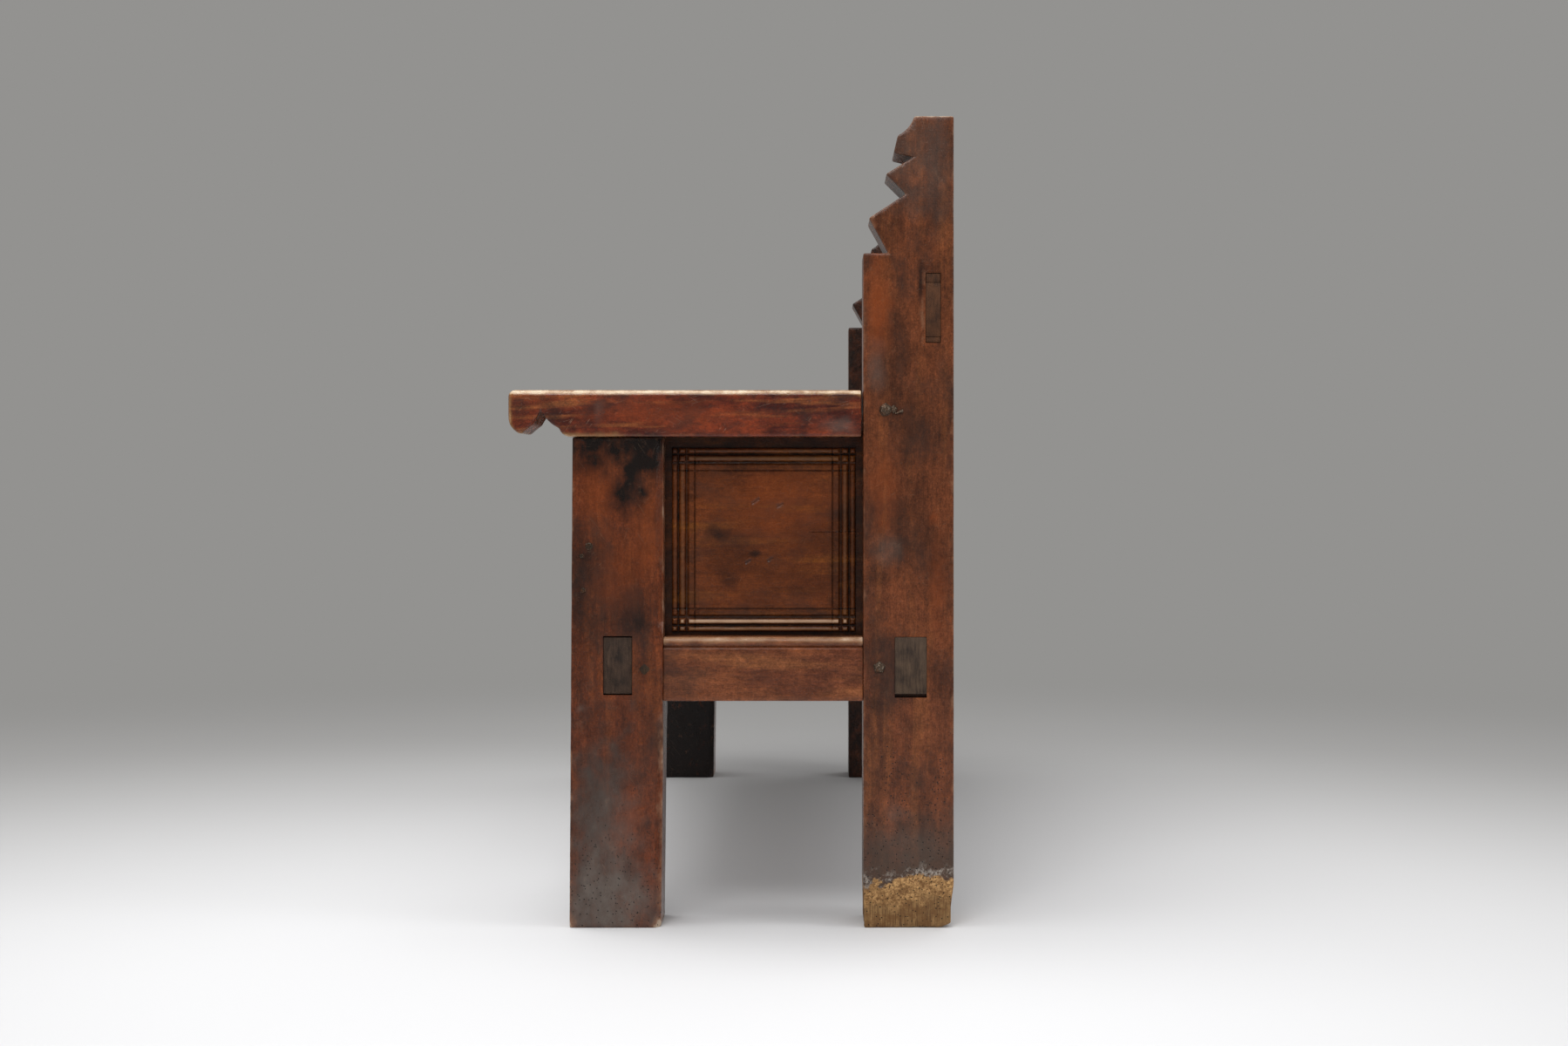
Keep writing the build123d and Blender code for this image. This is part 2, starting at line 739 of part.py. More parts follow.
# Wedges above and below the tenons of the top rail
with BuildPart() as end_wedges:
    for tenon_edge, thick, way in ((top_tenon_high, top_wedge, 1), (top_tenon_low, bottom_wedge, -1)):
        with BuildSketch(Plane.XZ.offset(-back_middle)):
            with BuildLine():
                Polyline(
                    (leg_inner + wedge_short, tenon_edge),
                    (leg_outer, tenon_edge),
                    (leg_outer, tenon_edge + way * thick),
                    (leg_inner + wedge_short, tenon_edge + way * wedge_thin),
                    close=True,
                )
            make_face()
        extrude(amount=back_tenon / 2, both=True)
write(both_ends(end_wedges.part), "top_rail_wedges")

# Lower rail of the back
with BuildPart() as bottom_rail:
    block((-leg_inner, leg_inner), (back_frame_front, back_frame_back), (bottom_rail_bottom, bottom_rail_top))
    block(
        (-leg_inner - bottom_tenon_length, leg_inner + bottom_tenon_length),
        about(back_middle, back_tenon),
        (bottom_rail_bottom + bottom_tenon_shoulder, bottom_rail_top - bottom_tenon_shoulder),
    )
    block(
        (-leg_inner - 1.0, leg_inner + 1.0),
        (back_tongue_front - groove_play, back_tongue_back + groove_play),
        (bottom_rail_top - groove_depth, bottom_rail_top + 1.0),
        Mode.SUBTRACT,
    )
    for place in muntin_places:
        block(
            about(place, muntin_tenon_width, tenon_play),
            about(back_middle, muntin_tenon_thickness, tenon_play),
            (bottom_rail_top - muntin_tenon_length - tenon_end_play, bottom_rail_top + 1.0),
            Mode.SUBTRACT,
        )
        block(
            about(place, muntin_peg, nail_play),
            (back_frame_front - 1.0, back_frame_back + 1.0),
            about(muntin_peg_heights[0], muntin_peg, nail_play),
            Mode.SUBTRACT,
        )
write(bottom_rail.part, "back_bottom_rail")

# Muntins between the panels of the back
for number, place in enumerate(muntin_places, start=1):
    with BuildPart() as muntin:
        block(
            about(place, muntin_width),
            (back_frame_front, back_frame_back),
            (bottom_rail_top, top_rail_bottom),
        )
        block(
            about(place, muntin_tenon_width),
            about(back_middle, muntin_tenon_thickness),
            (bottom_rail_top - muntin_tenon_length, top_rail_bottom + muntin_tenon_length),
        )
        for edge in (-1, 1):
            side = place + edge * muntin_width / 2
            block(
                sorted((side, side - edge * groove_depth)),
                (back_tongue_front - groove_play, back_tongue_back + groove_play),
                (bottom_rail_top, top_rail_bottom),
                Mode.SUBTRACT,
            )
        for height in muntin_peg_heights:
            block(
                about(place, muntin_peg, nail_play),
                (back_frame_front, back_frame_back),
                about(height, muntin_peg, nail_play),
                Mode.SUBTRACT,
            )
    write(muntin.part, f"back_muntin_{number}")

# Panels of the back, mouldings to the front
back_opening_z = (bottom_rail_top + top_rail_bottom) / 2
for number, step in enumerate(panel_steps, start=1):
    panel_origin = (step * back_pitch, back_face_y, back_opening_z - panel_play)
    back_face = Plane(origin=panel_origin, x_dir=(1, 0, 0), z_dir=(0, -1, 0))
    back_panel = moulded_panel(back_face, back_opening, top_rail_bottom - bottom_rail_top)
    write(back_panel, f"back_panel_{number}")

# Nails that pin the arms and side rails in the posts
for name, inset, height in (
    ("arm_nails", arm_nail_inset, arm_nail_z),
    ("side_rail_nails", side_nail_inset, side_nail_z),
):
    nail_face = Plane(origin=(leg_outer, post_front + inset, height), x_dir=(0, 1, 0), z_dir=(1, 0, 0))
    write(both_ends(nail(nail_face, rose_head, rose_height, end_nail_length)), name)

# Square pegs, set on their corners, that pin the side rails in the front legs
with BuildPart() as side_peg:
    with BuildSketch(Plane.YZ.offset(leg_outer - peg_recess)):
        with Locations((leg_back - peg_inset, side_nail_z)):
            Rectangle(peg_size, peg_size, rotation=45)
    extrude(amount=peg_recess - end_nail_length)
write(both_ends(side_peg.part), "side_rail_pegs")

# Nails through the posts' back faces into the tenons of the long rails
back_nail_pair = []
for height in back_nail_heights:
    nail_face = Plane(origin=(leg_middle, post_back, height), x_dir=(1, 0, 0), z_dir=(0, 1, 0))
    back_nail_pair.append(nail(nail_face, back_nail_head, back_nail_height, back_nail_length))
with BuildPart() as post_nails:
    for driven in back_nail_pair:
        add(driven)
write(both_ends(post_nails.part), "post_back_nails")

# Old nails in the right front leg
old_nails = []
for nail_y, nail_z in old_nail_places:
    nail_face = Plane(origin=(leg_outer, nail_y, nail_z), x_dir=(0, 1, 0), z_dir=(1, 0, 0))
    old_nails.append(nail(nail_face, old_nail_head, old_nail_height, old_nail_length))
with BuildPart() as leg_nails:
    for driven in old_nails:
        add(driven)
write(leg_nails.part, "old_leg_nails")

# Seat nails, driven flush
with BuildPart() as seat_nails:
    for places in nails_of_boards.values():
        for nail_x, nail_y in places:
            block(about(nail_x, shank), about(nail_y, shank), (seat_top - seat_nail_length, seat_top))
            block(
                about(nail_x, seat_nail_head),
                about(nail_y, seat_nail_head),
                (seat_top - seat_head_depth, seat_top),
            )
write(seat_nails.part, "seat_nails")

# Cleat nails
cleat_nails = []
for place in cleat_nail_places:
    nail_face = Plane(
        origin=(side_rail_inner - cleat_thickness, place, cleat_nail_z),
        x_dir=(0, 1, 0),
        z_dir=(-1, 0, 0),
    )
    cleat_nails.append(nail(nail_face, cleat_nail_head, old_nail_height, cleat_nail_length))
with BuildPart() as end_cleat_nails:
    for driven in cleat_nails:
        add(driven)
write(both_ends(end_cleat_nails.part), "cleat_nails")

# Pegs of the muntin tenons
with BuildPart() as muntin_pegs:
    for place in muntin_places:
        for height in muntin_peg_heights:
            block(
                about(place, muntin_peg),
                (back_frame_front, back_frame_back),
                about(height, muntin_peg),
            )
write(muntin_pegs.part, "muntin_pegs")
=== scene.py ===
"""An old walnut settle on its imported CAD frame: worn timbers, moulded panels, forged nails, a studio."""

from __future__ import annotations

import json
import logging
import math
from collections.abc import Callable, Sequence
from dataclasses import dataclass, field
from enum import Enum

import bmesh
import bpy
from mathutils import Euler, Matrix, Vector, noise

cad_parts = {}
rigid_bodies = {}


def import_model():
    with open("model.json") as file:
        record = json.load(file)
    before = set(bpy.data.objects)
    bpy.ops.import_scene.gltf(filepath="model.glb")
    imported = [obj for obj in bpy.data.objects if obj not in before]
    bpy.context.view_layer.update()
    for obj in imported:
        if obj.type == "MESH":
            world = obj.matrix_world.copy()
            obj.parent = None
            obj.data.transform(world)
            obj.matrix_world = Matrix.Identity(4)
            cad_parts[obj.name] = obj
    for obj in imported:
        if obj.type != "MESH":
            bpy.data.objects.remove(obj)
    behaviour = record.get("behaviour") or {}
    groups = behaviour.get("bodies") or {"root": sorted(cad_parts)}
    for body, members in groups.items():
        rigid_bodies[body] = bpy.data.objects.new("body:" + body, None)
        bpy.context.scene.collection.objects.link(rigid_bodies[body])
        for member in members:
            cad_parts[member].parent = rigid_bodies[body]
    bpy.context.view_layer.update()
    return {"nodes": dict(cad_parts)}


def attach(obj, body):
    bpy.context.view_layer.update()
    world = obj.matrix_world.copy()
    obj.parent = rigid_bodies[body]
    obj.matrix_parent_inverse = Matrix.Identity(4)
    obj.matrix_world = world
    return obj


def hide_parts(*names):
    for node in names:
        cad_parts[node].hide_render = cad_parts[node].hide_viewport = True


LOG = logging.getLogger("settle")
MM = 0.001
BODY = "root"
SIDES = (1, -1)  # the near end and the far end, along X
MIX = {"out": 2, "data_type": "RGBA"}  # a Mix node on colours: factor 0, colours 6 and 7
SOFT = {"interpolation_type": "SMOOTHSTEP"}  # a Map Range node with soft ends
SHADED_EDGE = math.radians(38)  # faces that meet at more than this show an edge
SHARP_EDGE = math.radians(30)  # edges sharper than this are eased
SHARP_TURN = math.radians(25)  # where an outline turns more than this it has a corner
MOST_MARK = 1.5  # strongest amount of a mark
MARK_RUMPLE = 18.0  # size of the unevenness of a mark's edge, millimetres

Point = tuple[float, float]
Socket = bpy.types.NodeSocket
Tree = bpy.types.NodeTree
Material = bpy.types.Material
Piece = bpy.types.Object
Shape = bmesh.types.BMesh
Vert = bmesh.types.BMVert
Edge = bmesh.types.BMEdge


class Run(Enum):
    """An axis of the settle, along which a timber or its grain runs."""

    X = 0
    Y = 1
    Z = 2

    @property
    def others(self) -> tuple[int, int]:
        """The two axes across this one."""
        return tuple(k for k in range(3) if k != self.value)

    @property
    def way(self) -> Vector:
        """A unit vector along the axis."""
        return Vector([1.0 if k == self.value else 0.0 for k in range(3)])

    @property
    def turn(self) -> tuple[float, float, float]:
        """The rotation that brings this axis onto Z."""
        return ((0, -math.pi / 2, 0), (math.pi / 2, 0, 0), (0, 0, 0))[self.value]


class Channel(Enum):
    """What a mark on the wood does to its colour; the number is its place in the colour attribute."""

    # stains, and painted shade laid into the same channel: under the arm, under the seat and in the panels'
    # grooves
    STAIN = 0
    WARM = 1
    SCUFF = 2


class Dots(Enum):
    """Small dots on the wood: spacing and radius in millimetres, how rare, colour, depth."""

    WORM = (5.0, 0.75, 0.68, "#0d0805", 4.0)
    SPECK = (24.0, 0.85, 0.9, "#d9cfbf", -0.5)


# Marks on the outer end faces: middle in Y and Z, reach in Y and Z (millimetres), strength
Marks = dict[Channel, tuple[tuple[float, ...], ...]]

LEG_MARKS: Marks = {
    Channel.STAIN: (
        # the first stain, across the leg's top under the arm, is old stain and a painted shadow of the arm
        (-150.0, 684.0, 180.0, 72.0, 1.15),
        (-196.0, 632.0, 36.0, 40.0, 0.45),
        (-114.0, 636.0, 40.0, 26.0, 0.6),
        (-124.0, 612.0, 30.0, 24.0, 0.6),
        (-143.0, 582.0, 26.0, 34.0, 1.15),
        (-190.6, 497.0, 9.0, 28.0, 0.7),
        (-133.0, 408.0, 26.0, 20.0, 0.5),
        (-117.0, 347.0, 15.0, 15.0, 0.6),
        (-188.0, 395.0, 16.0, 40.0, 0.4),
        (-150.0, 275.0, 70.0, 46.0, 0.3),
        (-165.0, 190.0, 34.0, 70.0, 0.6),
        (-192.0, 90.0, 36.0, 130.0, 0.6),
        (-206.0, 480.0, 14.0, 110.0, 0.6),
        (-120.0, 430.0, 40.0, 46.0, 0.45),
    ),
    Channel.WARM: (
        (-180.0, 585.0, 34.0, 60.0, 0.6),
        (-112.0, 540.0, 24.0, 65.0, 0.6),
        (-150.0, 470.0, 40.0, 60.0, 0.45),
        (-138.0, 155.0, 18.0, 45.0, 0.4),
    ),
    Channel.SCUFF: (
        # the two large scuffs low on the leg are grey scuffing and a painted reflection of the pale floor
        (-172.0, 110.0, 52.0, 150.0, 0.8),
        (-160.0, 26.0, 90.0, 66.0, 1.0),
        (-203.0, 294.0, 7.0, 6.0, 0.7),
    ),
}
POST_MARKS: Marks = {
    Channel.STAIN: (
        (268.0, 1050.0, 40.0, 45.0, 0.4),
        (227.0, 540.0, 12.0, 62.0, 0.45),
        (191.0, 300.0, 14.0, 14.0, 0.55),
        (227.5, 137.0, 5.0, 5.0, 0.9),
        (253.5, 866.0, 3.5, 36.0, 1.0),
        (270.0, 885.0, 12.0, 8.0, 0.6),
        (226.0, 1058.0, 14.0, 20.0, 0.45),
        (222.0, 990.0, 20.0, 26.0, 0.4),
        (262.0, 772.0, 16.0, 12.0, 0.45),
        (240.0, 640.0, 40.0, 90.0, 0.12),
    ),
    Channel.WARM: (
        (197.0, 830.0, 17.0, 80.0, 0.95),
        (272.7, 551.0, 5.0, 11.0, 0.9),
        (204.0, 590.0, 22.0, 70.0, 0.6),
        (276.0, 455.0, 13.0, 75.0, 0.5),
    ),
    Channel.SCUFF: (
        (193.0, 752.0, 15.0, 38.0, 0.6),
        (250.0, 1030.0, 70.0, 80.0, 0.45),
        (206.0, 507.0, 21.0, 24.0, 0.5),
        (220.0, 152.0, 16.0, 16.0, 0.5),
        (245.0, 106.0, 62.0, 36.0, 0.6),
    ),
}
ARM_MARKS: Marks = {
    Channel.STAIN: (
        (-277.0, 699.0, 13.0, 8.0, 0.5),
        (-245.0, 698.0, 16.0, 12.0, 0.6),
        (-242.0, 684.0, 16.0, 9.0, 0.6),
        (-288.0, 686.0, 16.0, 30.0, 0.3),
    ),
    Channel.WARM: ((-100.0, 690.0, 110.0, 22.0, 0.4),),
    Channel.SCUFF: ((-178.0, 692.0, 4.0, 22.0, 0.45), (144.0, 674.0, 28.0, 13.0, 0.8)),
}
PANEL_MARKS: Marks = {
    Channel.STAIN: (
        (-24.0, 530.0, 20.0, 11.0, 0.75),
        (-6.0, 466.0, 15.0, 14.0, 0.65),
        (31.0, 501.0, 11.0, 6.0, 0.75),
        (-5.0, 505.0, 40.0, 34.0, 0.35),
        (80.0, 450.0, 60.0, 10.0, 0.3),
    ),
    Channel.WARM: ((65.0, 565.0, 75.0, 60.0, 0.35),),
}


# Small helpers


def linear(hex_colour: str) -> tuple[float, float, float, float]:
    """Turn an sRGB hex colour into linear values.

    Args:
        hex_colour: colour as #rrggbb.

    Returns:
        Linear red, green, blue and an alpha of 1.
    """
    parts = [int(hex_colour[k : k + 2], 16) / 255 for k in (1, 3, 5)]
    return (*[p / 12.92 if p <= 0.04045 else ((p + 0.055) / 1.055) ** 2.4 for p in parts], 1.0)


def add(
    tree: Tree,
    kind: str,
    inputs: dict[int | str, object] | None = None,
    out: int | str = 0,
    **settings: object,
) -> Socket | bpy.types.Node:
    """Add a node with its settings and links.

    Args:
        tree: node tree that gets the node.
        kind: Blender's name of the shader node type, without ShaderNode.
        inputs: values or sockets by input name or number.
        out: name or number of the output that is handed back.
        settings: properties of the node.

    Returns:
        The chosen output socket, or the node where it has none.
    """
    node = tree.nodes.new(f"ShaderNode{kind}")
    for key, value in settings.items():
        setattr(node, key, value)
    for key, value in (inputs or {}).items():
        if isinstance(value, Socket):
            tree.links.new(value, node.inputs[key])
        else:
            node.inputs[key].default_value = value
    return node.outputs[out] if node.outputs else node


def new_material(name: str) -> tuple[Material, Tree]:
    """Make a material without nodes.

    Args:
        name: name of the material.

    Returns:
        The material and its empty node tree.
    """
    material = bpy.data.materials.new(name)
    material.use_nodes = True
    material.node_tree.nodes.clear()
    return material, material.node_tree


def arc(start: Point, through: Point, end: Point, steps: int = 8) -> list[Point]:
    """Points along the circle through three points, without the first one.

    Args:
        start: first point, millimetres.
        through: a point on the way.
        end: last point.
        steps: number of points handed back.

    Returns:
        The points after start, up to and with end.
    """
    (ax, ay), (bx, by), (cx, cy) = start, through, end
    det = 2 * (ax * (by - cy) + bx * (cy - ay) + cx * (ay - by))
    sa, sb, sc = ax * ax + ay * ay, bx * bx + by * by, cx * cx + cy * cy
    ox = (sa * (by - cy) + sb * (cy - ay) + sc * (ay - by)) / det
    oy = (sa * (cx - bx) + sb * (ax - cx) + sc * (bx - ax)) / det
    radius = math.hypot(ax - ox, ay - oy)
    first, middle, last = (math.atan2(y - oy, x - ox) for x, y in (start, through, end))
    turn = (last - first) % math.tau
    if (middle - first) % math.tau > turn:
        turn -= math.tau
    angles = [first + turn * k / steps for k in range(1, steps + 1)]
    return [(ox + radius * math.cos(a), oy + radius * math.sin(a)) for a in angles]


def smooth(low: float, high: float, value: float) -> float:
    """A soft step from 0 at low to 1 at high."""
    t = min(1.0, max(0.0, (value - low) / (high - low)))
    return t * t * (3 - 2 * t)


def segment_gap(point: Point, start: Point, end: Point) -> float:
    """Distance from a point to a straight stretch.

    Args:
        point: the point.
        start: one end of the stretch.
        end: its other end.

    Returns:
        The distance, in the unit of the points.
    """
    dx, dy = end[0] - start[0], end[1] - start[1]
    length = dx * dx + dy * dy
    t = 0.0 if length == 0 else ((point[0] - start[0]) * dx + (point[1] - start[1]) * dy) / length
    t = min(1.0, max(0.0, t))
    return math.hypot(point[0] - start[0] - t * dx, point[1] - start[1] - t * dy)


def rumple(place: Vector, size: float) -> float:
    """Uneven noise, about -1 to 1, with features of a given size in millimetres."""
    return noise.noise(place * (1.0 / size))


def moved_verts(grown: Sequence[object]) -> list[Vert]:
    """The vertices among what an extrusion made."""
    return [item for item in grown if isinstance(item, Vert)]


def ease(bm: Shape, edges: Sequence[Edge], offset: float, segments: int = 2) -> list[Vert]:
    """Round edges.

    Args:
        bm: shape that has the edges.
        edges: edges to round.
        offset: width of the rounding on each face.
        segments: number of facets over it.

    Returns:
        The vertices of the rounding.
    """
    made = bmesh.ops.bevel(
        bm,
        geom=edges,
        offset=offset,
        segments=segments,
        profile=0.5,
        affect="EDGES",
        material=-1,
        clamp_overlap=True,
    )
    return made["verts"]


def ease_all(bm: Shape, made: Sequence[Vert], offset: float) -> list[Vert]:
    """Round every edge of a small body.

    Args:
        bm: shape that holds the body.
        made: vertices of the body.
        offset: width of the rounding on each face.

    Returns:
        The vertices of the eased body.
    """
    rounded = ease(bm, list({edge for vert in made for edge in vert.link_edges}), offset)
    return list({*rounded, *[vert for vert in made if vert.is_valid]})


def eased_block(bm: Shape, size: Sequence[float], place: Matrix, offset: float, material: int = 0) -> None:
    """Add a block with rounded edges.

    Args:
        bm: shape that gets the block.
        size: its sizes along X, Y and Z, before it is placed.
        place: where it goes.
        offset: width of the rounding on each face.
        material: number of its material.
    """
    made = bmesh.ops.create_cube(bm, size=1.0)["verts"]
    bmesh.ops.scale(bm, vec=size, verts=made)
    for face in {face for vert in made for face in vert.link_faces}:
        face.material_index = material
    bmesh.ops.transform(bm, matrix=place, verts=ease_all(bm, made, offset))


def put_in_scene(name: str, bm: Shape, node: str, slot: str, materials: Sequence[Material]) -> Piece:
    """Turn a bmesh in millimetres into a piece that stands for a CAD node.

    Args:
        name: name of the piece.
        bm: its shape; freed here.
        node: CAD node that it replaces.
        slot: material slot of the record; not used.
        materials: materials in the order of the faces' material numbers.

    Returns:
        The new object, riding on the settle.
    """
    mesh = bpy.data.meshes.new(name)
    bmesh.ops.scale(bm, vec=(MM, MM, MM), verts=bm.verts[:])
    bm.to_mesh(mesh)
    bm.free()
    mesh.shade_smooth()
    mesh.set_sharp_from_angle(angle=SHADED_EDGE)
    for material in materials:
        mesh.materials.append(material)
    piece = bpy.data.objects.new(name, mesh)
    bpy.context.scene.collection.objects.link(piece)
    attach(piece, BODY)
    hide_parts(node)
    return piece


def store_attributes(piece: Piece, grain: list[float], marks: list[float]) -> None:
    """Store the grain coordinates and marks that the walnut finishes read.

    Args:
        piece: finished piece.
        grain: flat list of grain vectors.
        marks: flat list of mark colours, their stain channel with painted shade, and wear with painted
            highlights as alpha.
    """
    piece.data.attributes.new("grain", "FLOAT_VECTOR", "POINT").data.foreach_set("vector", grain)
    piece.data.attributes.new("marks", "FLOAT_COLOR", "POINT").data.foreach_set("color", marks)


def mark_amounts(marks: Marks, spot: Vector, side: int) -> list[float]:
    """How strongly each kind of mark shows at a point.

    Args:
        marks: the marks of the piece.
        spot: point on the piece, millimetres.
        side: end of the settle that the marks face.

    Returns:
        Amount of stain, warmth and scuff, 0 to 1.5.
    """
    amounts = [0.0, 0.0, 0.0]
    if spot.x * side < 0:
        return amounts
    for channel, rows in marks.items():
        for y, z, reach_y, reach_z, strength in rows:
            away = math.hypot((spot.y - y) / reach_y, (spot.z - z) / reach_z)
            if away > 1.8:
                continue
            away *= 1.0 + 0.45 * rumple(spot, MARK_RUMPLE)
            amounts[channel.value] += strength * (1.0 - smooth(0.25, 1.25, away))
    return [min(MOST_MARK, amount) for amount in amounts]


# Finishes


@dataclass
class Surface:
    """The sockets of a wood surface while the layers of its finish go on."""

    tree: Tree
    grain: Socket  # coordinates with the grain along Z
    height: Socket  # above the floor, metres
    colour: Socket | None = None
    relief: Socket | None = None
    gloss: Socket | None = None  # roughness

    def add(self, kind: str, inputs: dict[int | str, object] | None = None, **rest: object) -> Socket:
        """Add a node to this surface, as the function add does."""
        return add(self.tree, kind, inputs, **rest)

    def streaks(self, wide: float, long: float, detail: float, grain: Socket | None = None) -> Socket:
        """Noise stretched along the grain.

        Args:
            wide: width of its features, millimetres.
            long: their length, millimetres.
            detail: how many finer layers it has.
            grain: other coordinates than the surface's own.

        Returns:
            The noise, about 0.2 to 0.8.
        """
        scale = (1 / (wide * MM), 1 / (wide * MM), 1 / (long * MM))
        vector = self.grain if grain is None else grain
        stretched = self.add("Mapping", {"Vector": vector, "Scale": scale})
        return self.add("TexNoise", {"Vector": stretched, "Scale": 1.0, "Detail": detail, "Roughness": 0.62})


@dataclass(frozen=True)
class DampFoot:
    """A foot that stood in the damp: a grey mouldy band, raw ochre fibres, then brown bare wood."""

    height_mm: float
    grey: str = "#44382f"
    mould: str = "#a39a90"
    ochre: tuple[str, str] = ("#674321", "#d4a76e")
    brown: tuple[str, str] = ("#553a22", "#99764a")
    damp: str = "#6b4826"
    felt_mm: float = 3.4
    uneven: float = 0.017  # how far the edge wanders up and down, metres
    post: Point = (0.176, 0.298)  # the post's front and back, metres
    slant: Point = (0.006, -0.008)  # how far the edge sinks from front to back, metres

    def lay_on(self, on: Surface) -> None:
        """Lay the damp foot over a finish.

        Args:
            on: surface that gets it.
        """
        top = self.height_mm * MM
        place = on.add("TexCoord", out="Object")
        edge = on.streaks(26.0, 26.0, 6.0)
        shift = on.add("MapRange", {"Value": edge, 1: 0.25, 2: 0.75, 3: -self.uneven, 4: self.uneven})
        across = on.add("SeparateXYZ", {0: place}, out="Y")
        front, back = self.post
        slant = on.add("MapRange", {"Value": across, 1: front, 2: back, 3: self.slant[0], 4: self.slant[1]})
        level = on.add("Math", {0: on.height, 1: shift}, operation="ADD")
        level = on.add("Math", {0: level, 1: slant}, operation="ADD")
        felt = on.add("Mapping", {"Vector": on.grain, "Scale": (1 / (self.felt_mm * MM),) * 3})
        matted = {"Vector": felt, "Scale": 1.0, "Detail": 6.0, "Roughness": 0.7, "Distortion": 0.7}
        shreds = on.add("TexNoise", matted)
        stripes = on.streaks(1.7, 40.0, 4.0)
        clumps = on.streaks(15.0, 12.0, 4.0)
        flecks = on.streaks(2.6, 3.4, 5.0)
        grey = on.add("MapRange", {"Value": level, 1: top * 2.7, 2: top * 1.25, 4: 0.8})
        on.colour = on.add("Mix", {0: grey, 6: on.colour, 7: linear(self.grey)}, **MIX)
        near = on.add("MapRange", {"Value": level, 1: top * 1.42, 2: top * 1.12})
        patchy = on.add("MapRange", {"Value": clumps, 1: 0.48, 2: 0.58})
        mould = on.add("MapRange", {"Value": flecks, 1: 0.4, 2: 0.58, 4: 0.9})
        mould = on.add("Math", {0: mould, 1: near}, operation="MULTIPLY")
        mould = on.add("Math", {0: mould, 1: patchy}, operation="MULTIPLY")
        on.colour = on.add("Mix", {0: mould, 6: on.colour, 7: linear(self.mould)}, **MIX)
        bare = on.add("MapRange", {"Value": level, 1: top * 1.05, 2: top * 0.97})
        fibre = on.add("MapRange", {"Value": shreds, 1: 0.38, 2: 0.64})
        ochre = on.add("Mix", {0: fibre, 6: linear(self.ochre[0]), 7: linear(self.ochre[1])}, **MIX)
        striped = on.add("MapRange", {"Value": stripes, 1: 0.36, 2: 0.64})
        brown = on.add("Mix", {0: striped, 6: linear(self.brown[0]), 7: linear(self.brown[1])}, **MIX)
        under = on.add("MapRange", {"Value": level, 1: top * 0.66, 2: top * 0.45, 4: 0.9})
        raw = on.add("Mix", {0: under, 6: ochre, 7: brown}, **MIX)
        damp = on.add("MapRange", {"Value": clumps, 1: 0.46, 2: 0.62, 4: 0.75})
        raw = on.add("Mix", {0: damp, 6: raw, 7: linear(self.damp)}, **MIX)
        on.colour = on.add("Mix", {0: bare, 6: on.colour, 7: raw}, **MIX)
        rough = on.add("Math", {0: shreds, 1: bare}, operation="MULTIPLY")
        on.relief = on.add("Math", {0: rough, 1: 5.0, 2: on.relief}, operation="MULTIPLY_ADD")
        on.gloss = on.add("Math", {0: bare, 1: 0.4, 2: on.gloss}, operation="MULTIPLY_ADD", use_clamp=True)


